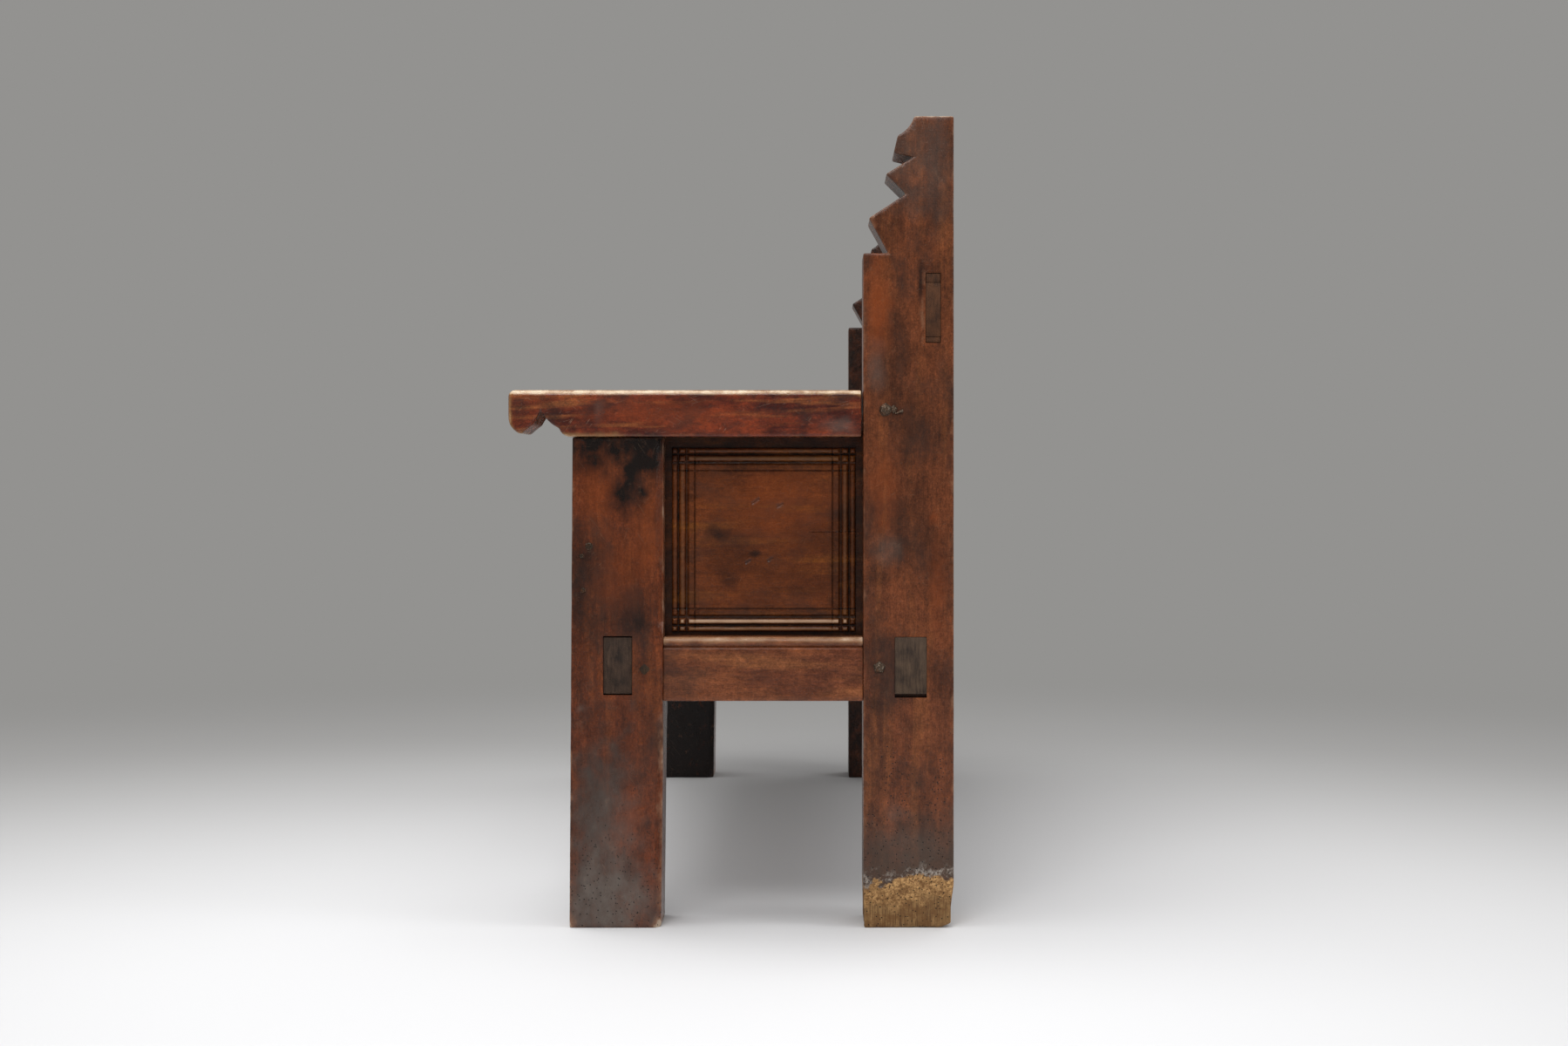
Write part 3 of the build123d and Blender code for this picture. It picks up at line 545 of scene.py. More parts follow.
@dataclass(frozen=True)
class WalnutFinish:
    """Old walnut, planed by hand, waxed for generations and worn pale on its arrises.

    The eye sees long soft bands of reddish brown, fine dark pores along the grain, smoky
    patches of old dirt, scratches, and a low satin sheen that breaks up over dents.
    """

    name: str
    deep: str = "#43200f"
    body: str = "#5f2d16"
    glow: str = "#763d1d"
    smoke: str = "#2c201b"
    worn: str = "#876149"
    bare: str = "#b3a08c"  # where use has gone through the wax; worn and bare also colour the painted highlights carried in the wear
    # stain also colours the painted shade carried in the stain channel
    stain: str = "#120906"
    warm: str = "#8a4018"
    scuff: str = "#60564f"
    scratch: str = "#a58b70"
    roughness: float = 0.24
    sheen: float = 0.28  # specular level
    wax_ior: float = 1.48
    coat: float = 0.0  # polish rubbed in by hands
    coat_roughness: float = 0.16
    blot_mm: float = 60.0  # soft clouds of colour
    pore_mm: float = 0.8  # drawn about three times as coarse as real pores, so that they show
    smoke_mm: float = 60.0
    smoke_share: float = 0.58
    scratch_share: float = 0.16
    ragged: float = 1.0  # how broken the edge of a worn place is
    worm_top_mm: float = 260.0  # worm holes reach this high
    worm_share: float = 0.46
    foot: DampFoot | None = None
    grain: Run | None = None  # grain of a CAD node, which has no grain attribute
    # Width and length of the streaks in millimetres, and how far they swing the colour
    mottle: tuple[tuple[float, float, float], ...] = (
        (1.3, 22.0, 0.14),
        (4.0, 80.0, 0.12),
        (14.0, 1.5, 0.1),
        (1.9, 2.6, 0.3),
        (5.0, 7.5, 0.28),
        (15.0, 22.0, 0.26),
    )
    # Turn of the scratches in radians, their width and length in millimetres
    scratches: tuple[tuple[float, float, float], ...] = (
        (0.25, 0.6, 20.0),
        (0.95, 0.7, 13.0),
        (-0.6, 0.55, 26.0),
        (1.45, 0.8, 10.0),
    )

    def build(self) -> Material:
        """Make the material.

        Returns:
            The finished material.
        """
        material, tree = new_material(self.name)
        place = add(tree, "TexCoord", out="Object")
        height = add(tree, "SeparateXYZ", {0: place}, out="Z")
        if self.grain is None:
            grain = add(tree, "Attribute", out="Vector", attribute_name="grain")
        else:
            grain = add(tree, "Mapping", {"Vector": place, "Rotation": self.grain.turn})
        on = Surface(tree, grain, height)
        self._timber(on)
        self._dots(on, Dots.SPECK)
        self._marks(on)
        if self.foot:
            self.foot.lay_on(on)
        self._dots(on, Dots.WORM)
        bump = on.add("Bump", {"Strength": 0.5, "Distance": 0.0005, "Height": on.relief})
        look = {"Base Color": on.colour, "Roughness": on.gloss, "Normal": bump}
        wax = {
            "Specular IOR Level": self.sheen,
            "IOR": self.wax_ior,
            "Coat Weight": self.coat,
            "Coat Roughness": self.coat_roughness,
        }
        surface = on.add("BsdfPrincipled", look | wax)
        on.add("OutputMaterial", {"Surface": surface})
        return material

    def _timber(self, on: Surface) -> None:
        """Bands, pores and smoky patches of the clean wood.

        Args:
            on: surface that gets them.
        """
        clouds = on.streaks(self.blot_mm, self.blot_mm * 2.2, 4.0)
        deep = on.add("MapRange", {"Value": clouds, 1: 0.36, 2: 0.6}, **SOFT)
        wood = on.add("Mix", {0: deep, 6: linear(self.deep), 7: linear(self.body)}, **MIX)
        bands = on.streaks(self.blot_mm * 0.4, self.blot_mm * 5, 3.0)
        pale = on.add("MapRange", {"Value": bands, 1: 0.48, 2: 0.7, 4: 0.6}, **SOFT)
        wood = on.add("Mix", {0: pale, 6: wood, 7: linear(self.glow)}, **MIX)
        relief = clouds
        for wide, long, swing in self.mottle:
            streaks = on.streaks(wide, long, 4.0)
            gain = on.add("MapRange", {"Value": streaks, 1: 0.3, 2: 0.7, 3: 1 - swing, 4: 1 + swing})
            wood = on.add("VectorMath", {0: wood, "Scale": gain}, operation="SCALE")
            relief = on.add("Math", {0: gain, 1: relief}, operation="ADD")
        pores = on.streaks(self.pore_mm, self.pore_mm * 14, 2.0)
        pore = on.add("MapRange", {"Value": pores, 1: 0.6, 2: 0.72, 4: 0.35}, **SOFT)
        wood = on.add("Mix", {0: pore, 6: wood, 7: linear(self.stain)}, **MIX)
        patches = on.streaks(self.smoke_mm, self.smoke_mm * 1.5, 6.0)
        smoke = on.add("MapRange", {"Value": patches, 1: 0.47, 2: 0.68, 4: self.smoke_share}, **SOFT)
        on.colour = on.add("Mix", {0: smoke, 6: wood, 7: linear(self.smoke)}, **MIX)
        on.relief = relief
        satin, dull = self.roughness - 0.04, self.roughness + 0.1
        on.gloss = on.add("MapRange", {"Value": patches, 1: 0.3, 2: 0.7, 3: satin, 4: dull})

    def _marks(self, on: Surface) -> None:
        """Stains with painted shade, warm patches, scuffs, worn arrises with painted highlights, and
        scratches.

        Args:
            on: surface that gets them.
        """
        marks = on.add("Attribute", out="Color", attribute_name="marks")
        wear = on.add("Attribute", out="Alpha", attribute_name="marks")
        breakup = on.streaks(15.0, 20.0, 7.0)
        ragged = on.add("MapRange", {"Value": breakup, 1: 0.3, 2: 0.7, 3: 0.55, 4: 1.3})
        for channel, shade, share in (
            (Channel.WARM, self.warm, 0.55),
            (Channel.STAIN, self.stain, 0.85),
            (Channel.SCUFF, self.scuff, 0.6),
        ):
            amount = on.add("SeparateColor", {0: marks}, out=channel.value)
            amount = on.add("Math", {0: amount, 1: ragged}, operation="MULTIPLY")
            amount = on.add("Math", {0: amount, 1: share}, operation="MULTIPLY", use_clamp=True)
            on.colour = on.add("Mix", {0: amount, 6: on.colour, 7: linear(shade)}, **MIX)
        swing = 0.5 * self.ragged
        rub = on.add("MapRange", {"Value": breakup, 1: 0.25, 2: 0.75, 3: -swing, 4: swing})
        # the wear alpha also carries painted highlights, which turn golden and then pale here
        rubbed = on.add("Math", {0: wear, 1: rub}, operation="ADD")
        golden = on.add("MapRange", {"Value": rubbed, 1: 0.2, 2: 1.05, 4: 0.9}, **SOFT)
        pale = on.add("MapRange", {"Value": rubbed, 1: 0.78, 2: 1.15, 4: 0.85}, **SOFT)
        on.colour = on.add("Mix", {0: golden, 6: on.colour, 7: linear(self.worn)}, **MIX)
        on.colour = on.add("Mix", {0: pale, 6: on.colour, 7: linear(self.bare)}, **MIX)
        for angle, wide, long in self.scratches:
            turned = on.add("Mapping", {"Vector": on.grain, "Rotation": (angle, 0, 0)})
            lines = on.streaks(wide, long, 0.0, turned)
            where = on.streaks(30.0, 30.0, 1.0, turned)
            thin = on.add("MapRange", {"Value": lines, 1: 0.79, 2: 0.83})
            there = on.add("MapRange", {"Value": where, 1: 0.5, 2: 0.62, 4: self.scratch_share})
            scratch = on.add("Math", {0: thin, 1: there}, operation="MULTIPLY")
            on.colour = on.add("Mix", {0: scratch, 6: on.colour, 7: linear(self.scratch)}, **MIX)
            on.relief = on.add("Math", {0: on.relief, 1: scratch}, operation="SUBTRACT")

    def _dots(self, on: Surface, kind: Dots) -> None:
        """Worm holes in clusters low on the timber, or a few pale specks.

        Args:
            on: surface that gets them.
            kind: which dots.
        """
        spacing_mm, size_mm, start, shade, depth = kind.value
        rim = size_mm / spacing_mm
        top = self.worm_top_mm * MM
        low = on.add("MapRange", {"Value": on.height, 1: 0.0, 2: top, 3: self.worm_share, 4: 0.0})
        clusters = on.streaks(38.0, 60.0, 2.0)
        allowed = on.add("Math", {0: clusters, 1: low}, operation="ADD")
        gap = on.add("TexVoronoi", {"Vector": on.grain, "Scale": 1 / (spacing_mm * MM)}, out="Distance")
        dot = on.add("MapRange", {"Value": gap, 1: rim, 2: 1.35 * rim, 3: 1.0, 4: 0.0})
        here = on.add("MapRange", {"Value": allowed, 1: start, 2: start + 0.12})
        dot = on.add("Math", {0: dot, 1: here}, operation="MULTIPLY")
        on.colour = on.add("Mix", {0: dot, 6: on.colour, 7: linear(shade)}, **MIX)
        sunk = on.add("Math", {0: dot, 1: depth}, operation="MULTIPLY")
        on.relief = on.add("Math", {0: on.relief, 1: sunk}, operation="SUBTRACT")


@dataclass(frozen=True)
class EndGrainFinish:
    """Sawn end grain of a tenon, wedge or peg: dark, dry, with rings and saw marks across it."""

    name: str
    dark: str = "#241a14"
    light: str = "#4a382c"
    saw_mm: float = 2.6
    pore_mm: float = 1.1  # drawn coarser than real pores, so that they show
    blot_mm: float = 18.0
    roughness: float = 0.78

    def build(self) -> Material:
        """Make the material.

        Returns:
            The finished material.
        """
        material, tree = new_material(self.name)
        place = add(tree, "TexCoord", out="Object")
        scale = (1 / (self.saw_mm * MM), 1 / (self.saw_mm * MM), 1 / (self.saw_mm * 7 * MM))
        sawn = add(tree, "Mapping", {"Vector": place, "Rotation": (0.12, 0, 0), "Scale": scale})
        saw = add(tree, "TexNoise", {"Vector": sawn, "Scale": 1.0, "Detail": 4.0, "Roughness": 0.6})
        dots = add(tree, "TexNoise", {"Vector": place, "Scale": 1 / (self.pore_mm * MM), "Detail": 3.0})
        blot = add(tree, "TexNoise", {"Vector": place, "Scale": 1 / (self.blot_mm * MM), "Detail": 4.0})
        tone = add(tree, "Math", {0: saw, 1: blot}, operation="ADD")
        tone = add(tree, "MapRange", {"Value": tone, 1: 0.72, 2: 1.28})
        colour = add(tree, "Mix", {0: tone, 6: linear(self.dark), 7: linear(self.light)}, **MIX)
        relief = add(tree, "Math", {0: saw, 1: dots}, operation="ADD")
        bump = add(tree, "Bump", {"Strength": 0.8, "Distance": 0.001, "Height": relief})
        shine = add(tree, "MapRange", {"Value": blot, 3: self.roughness - 0.12, 4: self.roughness + 0.1})
        look = {"Base Color": colour, "Roughness": shine, "Normal": bump, "Specular IOR Level": 0.25}
        add(tree, "OutputMaterial", {"Surface": add(tree, "BsdfPrincipled", look)})
        return material


@dataclass(frozen=True)
class ForgedIronFinish:
    """Hand-forged iron nails: brown-black scale with rubbed bright spots and a little rust."""

    name: str = "Forged iron nail"
    scale_colour: str = "#4c3e32"
    bright: str = "#b0a492"
    rust: str = "#5a3822"
    pit_mm: float = 1.6
    rust_mm: float = 4.5

    def build(self) -> Material:
        """Make the material.

        Returns:
            The finished material.
        """
        material, tree = new_material(self.name)
        place = add(tree, "TexCoord", out="Object")
        pits = add(tree, "TexNoise", {"Vector": place, "Scale": 1 / (self.pit_mm * MM), "Detail": 5.0})
        spots = add(tree, "TexNoise", {"Vector": place, "Scale": 1 / (self.rust_mm * MM), "Detail": 4.0})
        rusty = add(tree, "MapRange", {"Value": spots, 1: 0.45, 2: 0.65, 4: 0.7})
        colour = add(tree, "Mix", {0: rusty, 6: linear(self.scale_colour), 7: linear(self.rust)}, **MIX)
        rubbed = add(tree, "MapRange", {"Value": pits, 1: 0.54, 2: 0.7, 4: 0.6})
        colour = add(tree, "Mix", {0: rubbed, 6: colour, 7: linear(self.bright)}, **MIX)
        gloss = add(tree, "MapRange", {"Value": pits, 1: 0.3, 2: 0.7, 3: 0.38, 4: 0.62})
        bump = add(tree, "Bump", {"Strength": 0.4, "Distance": 0.0005, "Height": pits})
        look = {"Base Color": colour, "Roughness": gloss, "Normal": bump, "Metallic": 0.75}
        add(tree, "OutputMaterial", {"Surface": add(tree, "BsdfPrincipled", look)})
        return material


class Finishes:
    """All materials of the settle, made once and shared by its pieces."""

    def __init__(self) -> None:
        """Make every finish."""
        paler = {"deep": "#4b2817", "body": "#67371f", "glow": "#7b4726"}
        self.leg = WalnutFinish("Waxed walnut, legs").build()
        self.post = WalnutFinish(
            "Waxed walnut, posts with damp feet",
            foot=DampFoot(62.0),
            worm_top_mm=300.0,
            worm_share=0.74,
            **paler,
        ).build()
        self.sound_post = WalnutFinish("Waxed walnut, sound posts", **paler).build()
        self.arm = WalnutFinish(
            "Hand-polished walnut, arms",
            deep="#3c0f06",
            body="#702c13",
            glow="#93592f",
            smoke="#28130f",
            worn="#946c42",
            bare="#c9b294",
            scratch="#ac8f77",
            blot_mm=36.0,
            smoke_mm=30.0,
            smoke_share=0.72,
            scratch_share=0.4,
            ragged=0.6,
            sheen=0.34,
            coat=0.25,
        ).build()
        self.rail = WalnutFinish(
            "Waxed walnut, side rails",
            deep="#5a2f1c",
            body="#734025",
            glow="#86522f",
            worn="#a07a5a",
            bare="#cbb097",
            smoke_share=0.5,
            ragged=0.4,
        ).build()
        self.panel = WalnutFinish(
            "Waxed walnut, panels",
            deep="#46220d",
            body="#603014",
            glow="#764416",
            worn="#866040",
            bare="#c3a184",
            smoke_share=0.5,
            ragged=0.2,
            scratch_share=0.1,
            sheen=0.24,
        ).build()
        self.seat = WalnutFinish(
            "Sat-on walnut, seat boards",
            deep="#4d2c1b",
            body="#683c25",
            glow="#7f5131",
            smoke_share=0.3,
            scratch_share=0.4,
        ).build()
        self.back = WalnutFinish("Waxed walnut, back frame").build()
        self.rough = WalnutFinish(
            "Sawn walnut, hidden bearers",
            body="#5b3f2c",
            glow="#75563c",
            roughness=0.7,
            sheen=0.2,
            grain=Run.Y,
        ).build()
        self.front_tenon = EndGrainFinish("Dark end grain").build()
        self.back_tenon = EndGrainFinish("Weathered end grain", dark="#2f241d", light="#584637").build()
        self.top_tenon = EndGrainFinish("Brown end grain", dark="#362012", light="#5a3822").build()
        self.peg = EndGrainFinish("Peg end grain", dark="#1d1510", light="#43301f").build()
        self.iron = ForgedIronFinish().build()
        old_iron = ForgedIronFinish("Old sunk iron nail", scale_colour="#35291f", bright="#7b6f64")
        self.old_iron = old_iron.build()


# Timbers


@dataclass(frozen=True)
class Pocket:
    """A mortise mouth sunk into the outer end face, given by its Y and Z limits. Millimetres."""

    across: Point
    height: Point
    depth: float = 12.0

    def holds(self, spot: Vector) -> bool:
        """Whether a point of the face lies in the mouth."""
        return self.across[0] < spot.y < self.across[1] and self.height[0] < spot.z < self.height[1]


@dataclass
class Timber:
    """One squared and worn length of walnut, extruded from an outline. Sizes in millimetres."""

    name: str
    node: str
    slot: str
    outline: list[Point]
    run: Run
    limits: Point
    grain: Run
    materials: list[Material]
    seed: float
    face: Run = Run.X  # the way the show face looks
    arris: float = 2.4
    grid: float = 7.0
    long_grid: float = 9.0
    wave: float = 0.35
    nick: float = 0.4
    wear_reach: float = 3.2
    wear_share: float = 0.6
    swells: Point = (45.0, 14.0)  # sizes of the long and short unevenness that planing left
    knocks: Point = (26.0, 11.0)  # sizes of the knocks along the arrises
    patches: float = 30.0  # size of the patches where wear comes and goes
    inner_dirt_and_shade: float = 0.0  # old dirt and painted shade on the face that looks in under the seat
    dirt_and_shade_depth: Point = (6.0, 20.0)  # where it fades, out from the inner face
    dirt_and_shade_top: float = 420.0
    dirt_and_shade_fade: float = 50.0  # height over which it fades
    # wear at a point; on the pieces that pass it, it also carries painted light
    rubbed: Callable[[Vector], float] | None = None
    broad: Callable[[Edge], bool] | None = None
    broad_round: float = 6.0
    extra_lines: dict[Run, list[float]] = field(default_factory=dict)
    pockets: list[Pocket] = field(default_factory=list)
    marks: Marks = field(default_factory=dict)
    carve: Callable[[Vector], Vector] | None = None
    stubs: Callable[[Shape], None] | None = None
    end_side: int = 1  # which end of the settle the marks and pockets face

    def build(self) -> Piece:
        """Shape, wear and dress the timber.

        Returns:
            The finished piece.
        """
        bm = bmesh.new()
        self._rough_out(bm)
        self._ease_arrises(bm)
        self._slice(bm)
        self._sink_pockets(bm)
        values = self._wear_down(bm)
        if self.stubs:
            self.stubs(bm)
        grain, marks = self._attributes(bm, values)
        piece = put_in_scene(self.name, bm, self.node, self.slot, self.materials)
        store_attributes(piece, grain, marks)
        return piece

    def _rough_out(self, bm: Shape) -> None:
        """Extrude the outline along the timber.

        Args:
            bm: empty shape that gets it.
        """
        first, second = self.run.others
        corners = []
        for a, b in self.outline:
            spot = [0.0, 0.0, 0.0]
            spot[first], spot[second], spot[self.run.value] = a, b, self.limits[0]
            corners.append(bm.verts.new(spot))
        end = bm.faces.new(corners)
        moved = moved_verts(bmesh.ops.extrude_face_region(bm, geom=[end])["geom"])
        bmesh.ops.translate(bm, verts=moved, vec=self.run.way * (self.limits[1] - self.limits[0]))
        bmesh.ops.recalc_face_normals(bm, faces=bm.faces[:])

    def _ease_arrises(self, bm: Shape) -> None:
        """Round the broad corners first, then every other sharp edge.

        Args:
            bm: shape to ease.
        """
        if self.broad:
            ease(bm, [edge for edge in bm.edges if self.broad(edge)], self.broad_round, 6)
        closed = [edge for edge in bm.edges if len(edge.link_faces) == 2]
        ease(bm, [edge for edge in closed if edge.calc_face_angle() > SHARP_EDGE], self.arris)

    def _slice(self, bm: Shape) -> None:
        """Cut the faces into a grid, with extra lines where a mortise or facet needs them.

        Args:
            bm: shape to cut.
        """
        spans = [[v.co[k] for v in bm.verts] for k in range(3)]
        for run in sorted(Run, key=lambda r: r is self.run):
            low, high = min(spans[run.value]), max(spans[run.value])
            step = self.long_grid if run is self.run else self.grid
            count = max(1, round((high - low) / step))
            lines = [low + (high - low) * k / count for k in range(1, count)]
            for line in lines + self.extra_lines.get(run, []):
                whole = bm.verts[:] + bm.edges[:] + bm.faces[:]
                bmesh.ops.bisect_plane(bm, geom=whole, dist=1e-4, plane_co=run.way * line, plane_no=run.way)

    def _sink_pockets(self, bm: Shape) -> None:
        """Sink the mortise mouths into the outer end face.

        Args:
            bm: shape to sink them into.
        """
        outer = max(v.co.x * self.end_side for v in bm.verts)
        for pocket in self.pockets:
            inside = []
            for face in bm.faces:
                middle = face.calc_center_median()
                if middle.x * self.end_side >= outer - 0.01 and pocket.holds(middle):
                    inside.append(face)
            moved = moved_verts(bmesh.ops.extrude_face_region(bm, geom=inside)["geom"])
            bmesh.ops.translate(bm, verts=moved, vec=(-self.end_side * pocket.depth, 0, 0))
            bmesh.ops.delete(bm, geom=[face for face in inside if face.is_valid], context="FACES_ONLY")
        bm.normal_update()

    def _edge_gap(self, spot: Vector) -> float:
        """Distance of a point on the timber from its nearest arris.

        Args:
            spot: the point.

        Returns:
            The distance.
        """
        first, second = self.run.others
        flat = (spot[first], spot[second])
        count = len(self.outline)
        rim = min(segment_gap(flat, self.outline[k - 1], self.outline[k]) for k in range(count))
        end = min(spot[self.run.value] - self.limits[0], self.limits[1] - spot[self.run.value])
        corner = min((math.dist(flat, point) for point in self._corners), default=1e3)
        return min(math.hypot(rim, max(0.0, end)), corner)

    @property
    def _corners(self) -> list[Point]:
        """Outline points where the outline turns sharply.

        Returns:
            The points.
        """
        found = []
        count = len(self.outline)
        for k, point in enumerate(self.outline):
            before, after = self.outline[k - 1], self.outline[(k + 1) % count]
            one = math.atan2(point[1] - before[1], point[0] - before[0])
            two = math.atan2(after[1] - point[1], after[0] - point[0])
            turn = abs((two - one + math.pi) % math.tau - math.pi)
            if turn > SHARP_TURN:
                found.append(point)
        return found

    def _wear_down(self, bm: Shape) -> list[float]:
        """Move the surface as planing, knocks and use did.

        Args:
            bm: shape to wear.

        Returns:
            How worn each vertex is, with any painted highlights, 0 to 1.
        """
        bm.normal_update()
        shift = Vector((self.seed * 91.0, self.seed * 57.0, self.seed * 133.0))
        worn = []
        for vert in bm.verts:
            spot = vert.co.copy()
            gap = self._edge_gap(spot)
            near = math.exp(-((gap / self.wear_reach) ** 2))
            long, short = (rumple(spot + shift, size) for size in self.swells)
            rough = 0.7 * long + 0.3 * short
            dent = max(0.0, rumple(spot - shift, self.knocks[0]))
            chip = max(0.0, rumple(spot * 1.7 + shift, self.knocks[1]) - 0.25)
            planed = self.wave * rough * 0.6 - self.wave * 0.5
            vert.co += vert.normal * (planed - self.nick * near * (dent + chip))
            if self.carve:
                vert.co = self.carve(vert.co)
            chance = rumple(spot + shift, self.patches)
            use = near * self.wear_share * (0.75 + 0.6 * chance)
            # the piece's own wear map; on legs, posts, arms and the rail's bead it also lays painted light
            use += self.rubbed(spot) * (0.9 + 0.3 * chance) if self.rubbed else 0.0
            worn.append(min(1.0, use))
        return worn

    def _attributes(self, bm: Shape, worn: list[float]) -> tuple[list[float], list[float]]:
        """Grain coordinates and marks of every vertex.

        Args:
            bm: the finished shape, in millimetres.
            worn: how worn each vertex is, with its painted highlights; later vertices count as unworn.

        Returns:
            Flat lists of grain vectors (metres) and of mark colours.
        """
        grain, marks = [], []
        first = self.face.value
        second = 3 - first - self.grain.value
        lean = 0.03 * math.sin(self.seed * 7.0)
        inner_face = min(abs(x) for x in self.limits)
        for number, vert in enumerate(bm.verts):
            spot = vert.co
            along = spot[self.grain.value] * MM
            grain += [
                spot[first] * MM + self.seed * 0.71,
                spot[second] * MM + self.seed * 0.37 + along * lean,
                along + self.seed * 1.9,
            ]
            amounts = mark_amounts(self.marks, spot, self.end_side)
            use = worn[number] if number < len(worn) else 0.0
            # painted shade, with old dirt, on the face that looks in under the seat; wear is less there
            if self.inner_dirt_and_shade:
                inside = 1.0 - smooth(*self.dirt_and_shade_depth, spot.x * self.end_side - inner_face)
                inside *= 1.0 - smooth(self.dirt_and_shade_top - self.dirt_and_shade_fade, self.dirt_and_shade_top, spot.z)
                amounts[0] = max(amounts[0], self.inner_dirt_and_shade * inside)
                use *= 1.0 - 0.75 * inside
            marks += [*amounts, use]
        return grain, marks


# Panels


@dataclass(frozen=True)
class Score:
    """A dent or crack in a panel: its ends (across and up from the panel's middle), width, depth."""

    start: Point
    end: Point
    width: float
    depth: float

    def nearness(self, column: float, row: float) -> float:
        """How close a point is to the bottom of the dent, 0 to 1."""
        return math.exp(-((segment_gap((column, row), self.start, self.end) / self.width) ** 2))


PANEL_SCORES = [
    Score((-15.5, 45.0), (-7.0, 51.0), 1.7, 1.5),
    Score((18.5, 40.5), (25.5, 44.5), 1.7, 1.5),
    Score((-24.0, -35.5), (-18.5, -32.3), 1.6, 1.3),
    Score((6.0, -33.2), (11.0, -29.5), 1.6, 1.3),
    Score((62.0, 6.0), (124.0, 6.4), 0.4, 0.9),
]


@dataclass
class MouldedPanel:
    """A board with mouldings planed straight through both ways, so that they cross. Millimetres."""

    name: str
    node: str
    material: Material
    centre: Vector
    across: Run
    facing: Vector
    half: Point
    seed: float
    field_grid: float = 8.0
    fine_grid: float = 0.9  # over the mouldings
    tongue: float = 9.0
    tongue_drop: float = 7.0
    tongue_back: float = 17.0
    thickness: float = 24.0
    back_bevel: float = 26.0
    margin: float = 9.5
    drop: float = 0.0  # how far the mouldings sit below the opening's middle
    members: tuple[float, ...] = (7.6, 2.2, 9.0, 4.8, 6.3, 2.8)  # bead, gap, bead, hollow, flat, line
    deep: float = 4.6
    crowns: Point = (0.8, 0.3)  # how far the beads' crowns lie below the field
    swells: Point = (40.0, 9.0)  # sizes of the long and short unevenness that planing left
    # dirt and painted shade in the mouldings' grooves, and in the scored line, dents and cracks
    groove_dirt_and_shade: float = 0.95
    cut_dirt_and_shade: float = 0.85
    # the crowns' paleness is wear and a painted highlight, strongest on the lower mouldings as if lit from
    # above
    rub_and_highlight_upright: float = 0.45  # wear and painted highlight on the crowns of the upright mouldings
    rub_and_highlight_high: float = 0.6  # of the upper ones
    rub_and_highlight_low: float = 0.6  # of the lower ones
    back_marks: tuple[float, ...] = (0.25, 0.0, 0.2, 0.0)  # stain, warmth, scuff and wear of the back
    scores: list[Score] = field(default_factory=list)
    marks: Marks = field(default_factory=dict)
    end_side: int = 1

    def build(self) -> Piece:
        """Plane the mouldings and dress the panel.

        Returns:
            The finished piece.
        """
        bm = bmesh.new()
        columns, rows = self._lines(self.half[0], 0, 0.0), self._lines(self.half[1], 1, self.drop)
        bmesh.ops.create_grid(bm, x_segments=len(columns) - 1, y_segments=len(rows) - 1, size=1.0)
        cuts = []
        for vert in bm.verts:
            column = columns[round((vert.co.x + 1) / 2 * (len(columns) - 1))]
            row = rows[round((vert.co.y + 1) / 2 * (len(rows) - 1))]
            cuts.append(self._cut(column, row))
            sunk = self.facing * self._depth(column, row)
            vert.co = self.centre + self.across.way * column + Run.Z.way * row - sunk
        self._back(bm)
        grain, marks = self._attributes(bm, cuts)
        piece = put_in_scene(self.name, bm, self.node, "walnut_panel", [self.material])
        for polygon in piece.data.polygons:
            polygon.use_smooth = polygon.normal.dot(self.facing) > 0.1
        store_attributes(piece, grain, marks)
        return piece

    def _back(self, bm: Shape) -> None:
        """Close the board behind its face, with a bevel round the back.

        Args:
            bm: shape that has the face.
        """
        rim = [edge for edge in bm.edges if edge.is_boundary]
        spread = [1.0, 1.0, 1.0]
        for axis, half in ((self.across, self.half[0]), (Run.Z, self.half[1])):
            spread[axis.value] = 1.0 - self.back_bevel / (half + self.tongue)
        steps = ((self.tongue_back - self.tongue_drop, None), (self.thickness - self.tongue_back, spread))
        for back_step, shrink in steps:
            grown = bmesh.ops.extrude_edge_only(bm, edges=rim)["geom"]
            moved = moved_verts(grown)
            bmesh.ops.translate(bm, verts=moved, vec=-self.facing * back_step)
            if shrink:
                bmesh.ops.scale(bm, verts=moved, vec=shrink, space=Matrix.Translation(-self.centre))
            rim = [item for item in grown if isinstance(item, Edge) and item.is_boundary]
        bmesh.ops.edgeloop_fill(bm, edges=rim)
        bmesh.ops.recalc_face_normals(bm, faces=bm.faces[:])

    def _lines(self, half: float, way: int, drop: float) -> list[float]:
        """Grid lines across one direction: close over the mouldings, wide over the field.

        Args:
            half: half of the opening's size.
            way: 0 for lines across, 1 for lines up.
            drop: how far the mouldings sit below the opening's middle.

        Returns:
            Places of the lines from the panel's middle, in order.
        """
        edge = half - self.margin
        moulded = sum(self.members)
        outside = [half + self.tongue, half]
        lines = [edge + 0.05, edge]
        count = round(moulded / self.fine_grid)
        lines += [edge - moulded * k / count for k in range(1, count + 1)]
        inner = edge - moulded
        steps = round(2 * inner / self.field_grid)
        middle = [inner - 2 * inner * k / steps for k in range(1, steps)]
        planed = [line - drop for line in lines + [-line for line in lines] + middle]
        for score in self.scores:
            start, end = score.start[way], score.end[way]
            if abs(start - end) < 4.0:
                planed += [(start + end) / 2 + score.width * k for k in (-1.2, -0.5, 0, 0.5, 1.2)]
        return sorted(set(outside + [-line for line in outside] + planed))

